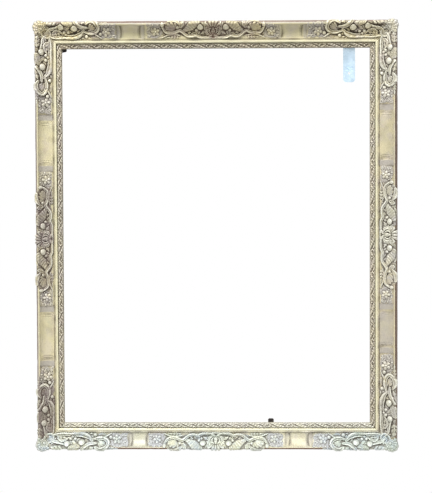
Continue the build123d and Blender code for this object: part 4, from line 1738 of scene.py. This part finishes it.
@dataclass
class CentreSpray(Spray):
    """The spray on one side of the palmette in the middle of a rail."""

    name: str = ""
    mirror: bool = False
    middle: float = 0.0
    length: float = 127.0

    def carve(self) -> Relief:
        """Carve the spray on the face of the top rail, from the palmette towards the right.

        Returns:
            The carving.
        """
        r = Relief(2.0, self.at([(self.length, 30)])[0][0] + 5, 17.9, 54.6, seed=self.seed)
        self.bed(
            r, (14, 30, 12, 11), (24, 38, 12, 13), (38, 38, 13, 14), (54, 36, 13, 14), (71, 36, 14, 14),
            (88, 34, 13, 12.5), (60, 47, 14, 5), (82, 47, 10, 5),
        )
        r.dots(*self.at([(96, 19.2), (128, 45.5)]), 1.0)
        self.leaves(
            r,
            (((6, 36.5), (14, 33.0), (24, 27)), 4.6, 1.4, 1.5, 3),
            (((12, 35), (16.5, 41), (13, 47.5)), 3.8, 1.4, 1.5, 2),
            (((29, 50.2), (38, 50.6), (50, 48)), 4.2, 1.0, 1.4, 3),
            (((25, 30.5), (33, 29.6), (43, 26.6)), 3.6, 1.2, 1.4, 3),
            (((56, 46), (61, 42.5), (66, 37.5)), 4.2, 1.5, 1.7, 3),
            (((43, 30), (50, 31.0), (56, 35)), 3.2, 1.2, 1.3, 2),
        )
        self.rim(r, ((28.5, 45.5), (41, 40.8), (54.5, 33.4)), (3.8, 7.2, 3.6), (1.6, 2.2, 1.6), 2.1,
                 ribs=6, depth=1.4, twist=True, slant=3.6, groove=1.6)
        for lean in range(-4, 4):
            c, v = math.cos(0.40 * lean + 0.3), math.sin(0.40 * lean + 0.3)
            flute = [(70.5, 36.5), (70.5 + 10 * c, 36.5 + 5.0 * v), (70.5 + 19.5 * c, 36.5 + 9.6 * v)]
            self.rim(r, flute, (0.9, 2.0, 2.3), (1.3, 1.8, 1.4), 1.0, groove=0.8)
        self.rim(r, ((63, 43.0), (69, 47.2), (78, 49.4), (86, 48.8)),
                 (1.3, 2.5, 2.5, 1.2), (1.8, 2.3, 1.9), 2.0, groove=1.5, hand=1)
        wave = (
            (4, 20.4), (24, 20.8), (33, 24.3), (41.6, 22.8), (50.4, 24.1), (59.2, 30.9), (64.5, 33.0),
            (73, 29.4), (82, 28.6), (91, 31), (98, 41.0),
        )
        self.rim(r, wave, (1.8, 2.5, 2.7, 2.7, 2.9, 2.9, 1.7), (1.8, 2.4, 2.4, 2.4, 2.1), 2.1,
                 groove=1.7, hand=-1)
        self.rim(r, ((63.6, 24.6), (76, 26.2), (86, 25.2), (98.7, 20)), (1.1, 1.8, 1.7, 0.8), (1.4, 1.4), 1.4,
                 groove=1.1)
        self.leaves(r, (((66, 21.4), (77, 21.6), (90, 20.8)), 2.8, 1.0, 1.2, 4))
        self.ball(r, (31.5, 33.6), 3.1, 1.4, curl=-0.8, start=0.3)
        self.ball(r, (68.0, 38.4), 3.0, 1.6, curl=-0.8, start=0.6)
        self.ball(r, (24.4, 38.6), 6.1, 2.3, curl=0.8, start=0.4, squash=0.78)
        self.ball(r, (97.0, 42.4), 3.4, 1.5, curl=0.8)
        self.leaves(
            r, (((115.5, 33.5), (120.5, 36.4), (126, 34.0)), 3.2, 1.0, 1.3, 2),
            (((115.5, 28), (120.5, 24.4), (126, 25.4)), 3.2, 1.0, 1.3, 2),
        )
        r.flower(self.at([(110.2, 31.0)])[0], 8.4, 5, 1.5, turn=1.1)
        for a, u, radius in ((106, 42.8, 1.4), (115, 42.6, 1.5), (101.6, 36.6, 1.4), (122, 40.2, 1.3)):
            self.ball(r, (a, u), radius, 1.0, curl=0)
        r.height[r.along < 2.6] = EMPTY
        return r

    def names(self) -> tuple[str, str]:
        """Name of the piece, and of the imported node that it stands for."""
        return f"centre_leafwork_{self.name}", f"centre_spray_{self.name}"

    def body(self) -> Body:
        """The closed form, mirrored if it lies to the left of the palmette."""
        body = relief_body(self.carve(), self.wrap, self.brown)
        return (body.mirrored() if self.mirror else body).moved(self.middle)


@dataclass
class CornerShell(Ornament):
    """The fluted shell over a corner, the scroll inside it and the two curls beside it."""

    turns: int = 168
    rings: int = 34
    curl_turns: int = 64
    curl_rings: int = 14
    shell_middle: float = 41.6
    shell_radius: float = 12.6
    hinge: float = 6.0
    scroll_middle: float = 29.4
    scroll_radius: float = 10.4
    curl_radius: float = 3.5
    curls: tuple[tuple[tuple[float, float], float], ...] = (((-30.4, 47.4), 0.1), ((-47.4, 30.4), 0.4))
    bed: float = 1.4

    def grid(self, turns: int, rings: int) -> tuple[Grid, Grid]:
        """Angles round a middle, and shares of the radius in a column."""
        return np.linspace(0, 2 * math.pi, turns, endpoint=False), np.linspace(0, 1, rings)[:, None]

    def face(self, x: Grid, z: Grid) -> Grid:
        """Find the moulding under a place.

        Args:
            x: Places along X of the corner.
            z: Places along Z.

        Returns:
            Its height, with the face carried on level past the lip.
        """
        across, m = np.maximum(z, -x), self.wrap.moulding
        level = m.face(np.clip(across, m.panel_start, m.panel_end))
        return np.where(across > m.panel_end, m.panel_outer + 1.2, level)

    def floor(self, x: Grid, z: Grid, low: float) -> Grid:
        """Find where a wall ends.

        Args:
            x: Places along X of the corner.
            z: Places along Z.
            low: How far down it reaches on the outer side.

        Returns:
            Its height there: just in the face, or down the outer side.
        """
        bed = self.face(x, z) - self.bed
        return bed - (bed - low) * ease(np.maximum(z, -x), 44.5, 48.0)

    def form(self, middle: Spot, edge: Grid, rise: Grid, low: float, flat: float) -> Body:
        """Close a round form over the mitre.

        Args:
            middle: Its middle, along X and Z of the corner.
            edge: Radius of its outline at even angles.
            rise: Its height above the moulding, rings by angles.
            low: How far down the outer side its wall reaches.
            flat: How far it rests on a level bed, from 0, where it follows the moulding, to 1.

        Returns:
            The closed form.
        """
        angle, rho = self.grid(rise.shape[1], rise.shape[0])
        x, z = middle[0] + rho * edge * np.cos(angle), middle[1] + rho * edge * np.sin(angle)
        base = self.face(x, z)
        base = base.mean() * flat + base * (1 - flat)
        height = base + rise + 0.10 * ripple(x, z, self.seed, 4)
        mean = blur(rise, 2.0)
        # Hollows and the rim where the form meets the face are painted darker, as toning and painted shade;
        # crests lighter, as rubbing and painted highlights
        deep = np.clip(0.9 * (mean - rise) + 0.04 + 0.6 * ease(rho, 0.93, 1.0), 0, 1)
        proud = np.clip(1.5 * (rise - mean) + 0.10, 0, 1)
        return round_body(middle, edge, height, deep, proud, 8, self.floor(x[-1], z[-1], low))

    def shell(self) -> Body:
        """Shape the shell: flutes that spread from a hinge on its inner side to a scalloped edge.

        Returns:
            The closed form.
        """
        angle, rho = self.grid(self.turns, self.rings)
        x, z = rho * self.shell_radius * np.cos(angle), rho * self.shell_radius * np.sin(angle)
        hx, hz = -self.hinge * math.cos(MITRE), -self.hinge * math.sin(MITRE)
        far = np.hypot(x - hx, z - hz)
        fan = (np.arctan2(z - hz, x - hx) - MITRE + math.pi) % (2 * math.pi) - math.pi
        flute = np.abs(np.cos(math.pi * 4.5 * np.clip(fan / 2.15, -1, 1)))
        edge = self.shell_radius * (0.90 + 0.115 * flute[-1] ** 0.5)
        fluted = ease(far, 2.0, 5.0)
        rise = 0.8 + 4.6 * np.sqrt(np.clip(1 - (0.93 * rho) ** 2.6, 0, 1)) - 1.1 * ease(rho, 0.9, 1.0)
        rise = rise - (1.5 * (1 - flute**0.8)) * fluted * (0.5 + 0.5 * rho)
        rise += 0.35 * np.cos(far * 1.5) * fluted * (1 - ease(rho, 0.85, 1))
        knob = dome(far / 3.1) * 1.9 - 0.9 * bump(far - 3.5, 0.6)
        return self.form((-self.shell_middle, self.shell_middle), edge, rise + knob, 28.5, 0.45)

    def scroll(self) -> Body:
        """Shape the oval scroll inside the shell, with a rim round a sunk leaf.

        Returns:
            The closed form.
        """
        angle, rho = self.grid(self.turns, self.rings)
        edge = self.scroll_radius * (1 + 0.10 * np.cos(2 * (angle - MITRE)))
        rise = 0.9 + 2.7 * dome((rho - 0.80) / 0.20) + 0 * angle
        rise -= 0.35 * (0.5 + 0.5 * np.cos(18 * angle)) * (rho > 0.6)
        along, cross = rho * np.cos(angle - MITRE), rho * np.sin(angle - MITRE)
        leaf = np.clip(1 - (along / 0.56) ** 2 - (cross / 0.34) ** 2, 0, 1) ** 0.5 * 2.0
        leaf -= 0.7 * bump(cross, 0.05) * (leaf > 0)
        leaf -= 0.5 * (0.5 + 0.5 * np.cos(26 * (along - np.abs(cross) * 0.8))) * (leaf > 0.2)
        rise = rise + np.maximum(leaf, 0) * (rho < 0.6)
        return self.form((-self.scroll_middle, self.scroll_middle), edge, rise, 20.0, 0.0)

    def curl(self, middle: Spot, start: float) -> Body:
        """Shape a small curl beside the shell.

        Args:
            middle: Its middle, along X and Z of the corner.
            start: Where its spiral starts, in turns.

        Returns:
            The closed form.
        """
        angle, rho = self.grid(self.curl_turns, self.curl_rings)
        rise = 1.0 + 3.0 * dome(0.97 * rho) + 0 * angle
        turn = (angle / (2 * math.pi) + 1.1 * rho + start) % 1
        rise -= 0.9 * bump(turn - 0.5, 0.10) * ease(rho, 0.1, 0.5) * (1 - ease(rho, 0.85, 1))
        return self.form(middle, np.full(self.curl_turns, self.curl_radius), rise, 31.0, 0.6)

    def names(self) -> tuple[str, str]:
        """Name of the piece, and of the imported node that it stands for."""
        return f"shell_{self.place.label}", f"corner_shell_{self.place.label}"

    def body(self) -> Body:
        """The shell with its scroll and curls."""
        return joined([self.shell(), self.scroll(), *(self.curl(*curl) for curl in self.curls)])


@dataclass
class Palmette(Ornament):
    """The palmette in the middle of a rail, over a pair of twisted beads."""

    middle: float = 0.0
    brown: float = 0.0
    leaf: tuple[float, ...] = (5.0, 8.5, 11.8, 14.4)
    leans: tuple[int, ...] = (-80, -54, -27, 27, 54, 80, 0)

    def carve(self) -> Relief:
        """Carve the palmette on the face of the top rail.

        Returns:
            The carving.
        """
        r = Relief(-17.5, 17.5, 17.9, 54.8, 0.45, seed=self.seed)
        r.ground([(0, 37, 13.5, 13), (0, 28.5, 10.5, 8.5), (0, 47, 13, 8)])
        for lean in self.leans:
            s, c = math.sin(math.radians(lean)), math.cos(math.radians(lean))
            points = [(k * s * 1.08, 36.0 + (k - 0.8) * c) for k in self.leaf]
            r.stroke(points, (0.8, 1.7, 2.7, 2.0), (1.2, 2.6, 2.6, 1.8), 2.2, vein=0.6, groove=2.0)
        for s in (-1, 1):
            r.stroke([(s * 8.6, 38.8), (s * 12.6, 34.2), (s * 11.2, 28.4), (s * 5.2, 25.0)],
                     (1.3, 2.4, 2.4, 1.2), (2.2, 2.8, 2.4), 2.0, groove=1.6, hand=-s)
            r.stroke([(s * 2.4, 38.6), (s * 6.4, 36.4), (s * 7.2, 31.5), (s * 3.4, 27.4)],
                     (0.9, 1.5, 1.5, 0.8), (2.4, 2.6), 1.4, groove=1.2)
            r.ball((s * 11.8, 39.4), 2.6, 1.8, curl=0.8 * s)
        r.stroke([(0, 37.6), (0, 32.0), (0, 26.4)], (2.0, 3.9, 2.4), (2.6, 3.0, 2.4), 2.0,
                 ribs=3, depth=0.5, groove=1.5, vein=0.4)
        r.stroke([(-7, 20.0), (0, 19.6), (7, 20.0)], (1.8, 1.7, 1.8), (1.8, 1.8), 2.0, groove=0.8, hand=-1)
        for s in (-1, 1):
            r.stroke([(s * 1.2, 25.4), (s * 4.6, 23.8), (s * 8.4, 21.6)], (1.5, 2.7, 1.4), (2.0, 2.2), 2.0,
                     ribs=3, depth=0.9, twist=True, groove=1.4)
        return r

    def names(self) -> tuple[str, str]:
        """Name of the piece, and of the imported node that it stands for."""
        return f"palmette_carving_{self.place.label}", f"palmette_{self.place.label}"

    def body(self) -> Body:
        """The closed form, off the rail's middle by its shift."""
        return relief_body(self.carve(), self.wrap, self.brown).moved(self.middle)


@dataclass
class Fittings:
    """The metal fittings and the wooden keys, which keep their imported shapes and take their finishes."""

    nodes: dict[str, Piece]
    key_light: Colour = (0.55, 0.40, 0.25)
    key_dark: Colour = (0.35, 0.22, 0.12)

    def keys(self, side: Side) -> list[Piece]:
        """The keys let into one rail."""
        return [self.nodes[f"corner_key_{corner.label}"] for corner in Corner if side in corner.rails]

    def paint(self, names: Sequence[str], finish: Finish) -> None:
        """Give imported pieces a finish.

        Args:
            names: Their names.
            finish: The finish.
        """
        for name in names:
            for slot in self.nodes[name].material_slots:
                slot.link = "OBJECT"
                slot.material = finish
            log.info("%s: %s", name, finish.name)

    def build(self) -> None:
        """Finish the keys, whose grain runs across the mitres, and then the metal."""
        for name, slant, corners in (
            ("falling", math.pi / 4, (Corner.TOP_RIGHT, Corner.BOTTOM_LEFT)),
            ("rising", -math.pi / 4, (Corner.TOP_LEFT, Corner.BOTTOM_RIGHT)),
        ):
            wood = BareWood(f"key_wood_{name}", True, self.key_light, self.key_dark, slant=slant)
            self.paint([f"corner_key_{corner.label}" for corner in corners], wood.material())
        for metal, names in (
            (Metal("zinc", (0.66, 0.82, 0.95), (0.47, 0.61, 0.72), 0.9, 0.40), ("retaining_plate",)),
            (Metal("black_steel", (0.016, 0.015, 0.015), (0.05, 0.04, 0.035), 0.2, 0.5),
             ("turn_button_top", "turn_button_bottom")),
            (Metal("hanger_steel", (0.50, 0.49, 0.46), (0.28, 0.25, 0.21), 0.85, 0.34),
             ("hanger_strap_left", "hanger_strap_right", "hanger_ring_left", "hanger_ring_right")),
            (Metal("screw_steel", (0.40, 0.38, 0.34), (0.17, 0.14, 0.11), 0.8, 0.4),
             ("retaining_plate_screw", "turn_button_screws", "hanger_screws")),
        ):
            self.paint(names, metal.material())


@dataclass
class Studio:
    """Pale floor, soft lamps and the camera of the photograph."""

    floor_height: float = -0.62
    floor_radius: float = 1.2
    floor_points: int = 96
    fade: tuple[float, float] = (0.38, 0.70)
    level: float = 0.28
    key: tuple[Colour, float, float] = ((-0.9, -1.9, 2.9), 1.2, 134)
    fill: tuple[Colour, float, float] = ((1.9, -2.6, 0.2), 2.0, 14)
    back: tuple[Colour, float, float] = ((0.8, 2.6, 2.0), 2.0, 45)
    distance: float = 4.0
    lens: float = 173.0
    sensor: float = 36.0
    reach: float = 50.0
    stand: tuple[float, float] = (0.1347, 0.1762)
    angles: Colour = (-2.814, 1.944, -0.229)

    def floor(self) -> None:
        """Lay the floor, which shows white to the camera and keeps the object's shadow."""
        turns = [2 * math.pi * k / self.floor_points for k in range(self.floor_points)]
        mesh = bpy.data.meshes.new("studio_floor")
        ring = [(self.floor_radius * math.cos(a), self.floor_radius * math.sin(a), 0.0) for a in turns]
        mesh.from_pydata(ring, [], [list(range(self.floor_points))])
        plate = linked("studio_floor", mesh)
        plate.location.z = self.floor_height
        s = Shader(bpy.data.materials.new("studio_floor"))
        colour = s.mix(s.noise(3, 2), (0.80, 0.80, 0.79), (0.84, 0.84, 0.83))
        matt = s.add("ShaderNodeBsdfDiffuse", None, {"Color": colour})
        white = s.add("ShaderNodeEmission", None, {"Color": (1.0, 1.0, 1.0), "Strength": 1.0})
        far = s.add("ShaderNodeVectorMath", {"operation": "LENGTH"}, {0: s.place()}, "Value")
        seen = s.white(far.ramp(*self.fade))
        mesh.materials.append(s.close(s.add("ShaderNodeMixShader", None, {0: seen, 1: matt, 2: white})))

    def world(self) -> None:
        """Light the room: white where it is seen directly or in a reflection, soft elsewhere."""
        s = Shader(bpy.data.worlds.new("studio"))
        bpy.context.scene.world = s.owner
        levels = {"Value": s.white(), "To Min": self.level, "To Max": 1.0}
        strength = s.add("ShaderNodeMapRange", None, levels)
        light = s.add("ShaderNodeBackground", None, {"Color": (1.0, 1.0, 1.0), "Strength": strength})
        s.close(light, "ShaderNodeOutputWorld")

    def lamp(self, name: str, place: Colour, size: float, power: float) -> None:
        """Hang a soft square lamp that faces the frame.

        Args:
            name: Name of the lamp.
            place: Where it hangs, in metres.
            size: Length of its side.
            power: Its power, in watts.
        """
        data = bpy.data.lights.new(name, "AREA")
        data.size, data.energy = size, power
        lamp = linked(name, data)
        lamp.location = place
        lamp.rotation_mode = "QUATERNION"
        lamp.rotation_quaternion = (-Vector(place)).to_track_quat("-Z", "Y")

    def camera(self) -> None:
        """Stand the camera where the photograph was taken."""
        data = bpy.data.cameras.new("camera")
        data.sensor_fit, data.sensor_width, data.lens = "HORIZONTAL", self.sensor, self.lens
        data.clip_end = self.reach
        eye = linked("camera", data)
        pitch, yaw, roll = (math.radians(a) for a in self.angles)
        turn = Matrix.Rotation(yaw, 4, "Z") @ Matrix.Rotation(pitch, 4, "X")
        turn = turn @ Matrix.Rotation(math.pi / 2, 4, "X") @ Matrix.Rotation(roll, 4, "Z")
        eye.matrix_world = Matrix.Translation((self.stand[0], -self.distance, self.stand[1])) @ turn
        bpy.context.scene.camera = eye

    def build(self) -> None:
        """Set the room, the lamps and the camera."""
        bpy.context.scene.view_settings.view_transform = "Standard"
        self.floor()
        self.world()
        for name, settings in (("key", self.key), ("fill", self.fill), ("back", self.back)):
            self.lamp(name, *settings)
        self.camera()


def main() -> None:
    """Build the frame piece by piece, then the studio."""
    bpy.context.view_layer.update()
    moulding = Moulding()
    wrap = Wrap(moulding)
    fittings = Fittings(frame["nodes"])
    for seed, side in enumerate(Side):
        gilt = ORNAMENT_GILT[side].material()
        wood = BareWood(f"{side.label}_wood", side.upright).material()
        Rail(side, moulding, 20 + seed).build(FACE_GILT[side].material(), wood, fittings.keys(side))
        SightStrip(side, moulding, 50 + seed).build(STRIP_GILT[side].material())
        middle, scale, names = CENTRES[side]
        Palmette(wrap, side, 70 + seed, middle, BROWNING[side]).build(gilt)
        for k, name in enumerate(names):
            CentreSpray(
                wrap, side, 80 + 10 * seed + k, scale, LIFTS[side], brown=SPRAY_BROWNING * BROWNING[side],
                name=name, mirror=k == 0, middle=middle,
            ).build(gilt)
    for seed, corner in enumerate(Corner):
        shell_side = Side.BOTTOM if Side.BOTTOM in corner.rails else corner.rails[0]
        CornerShell(wrap, corner, 120 + seed).build(ORNAMENT_GILT[shell_side].material())
        for k, side in enumerate(corner.rails):
            CornerSpray(
                wrap, corner, 140 + 10 * seed + k, STRETCH[corner][k], LIFTS[side], -moulding.width,
                CORNER_BROWNING[corner][k], side,
            ).build(ORNAMENT_GILT[side].material())
    fittings.build()
    Studio().build()


if __name__ == "__main__":
    logging.basicConfig(level=logging.INFO)
    main()
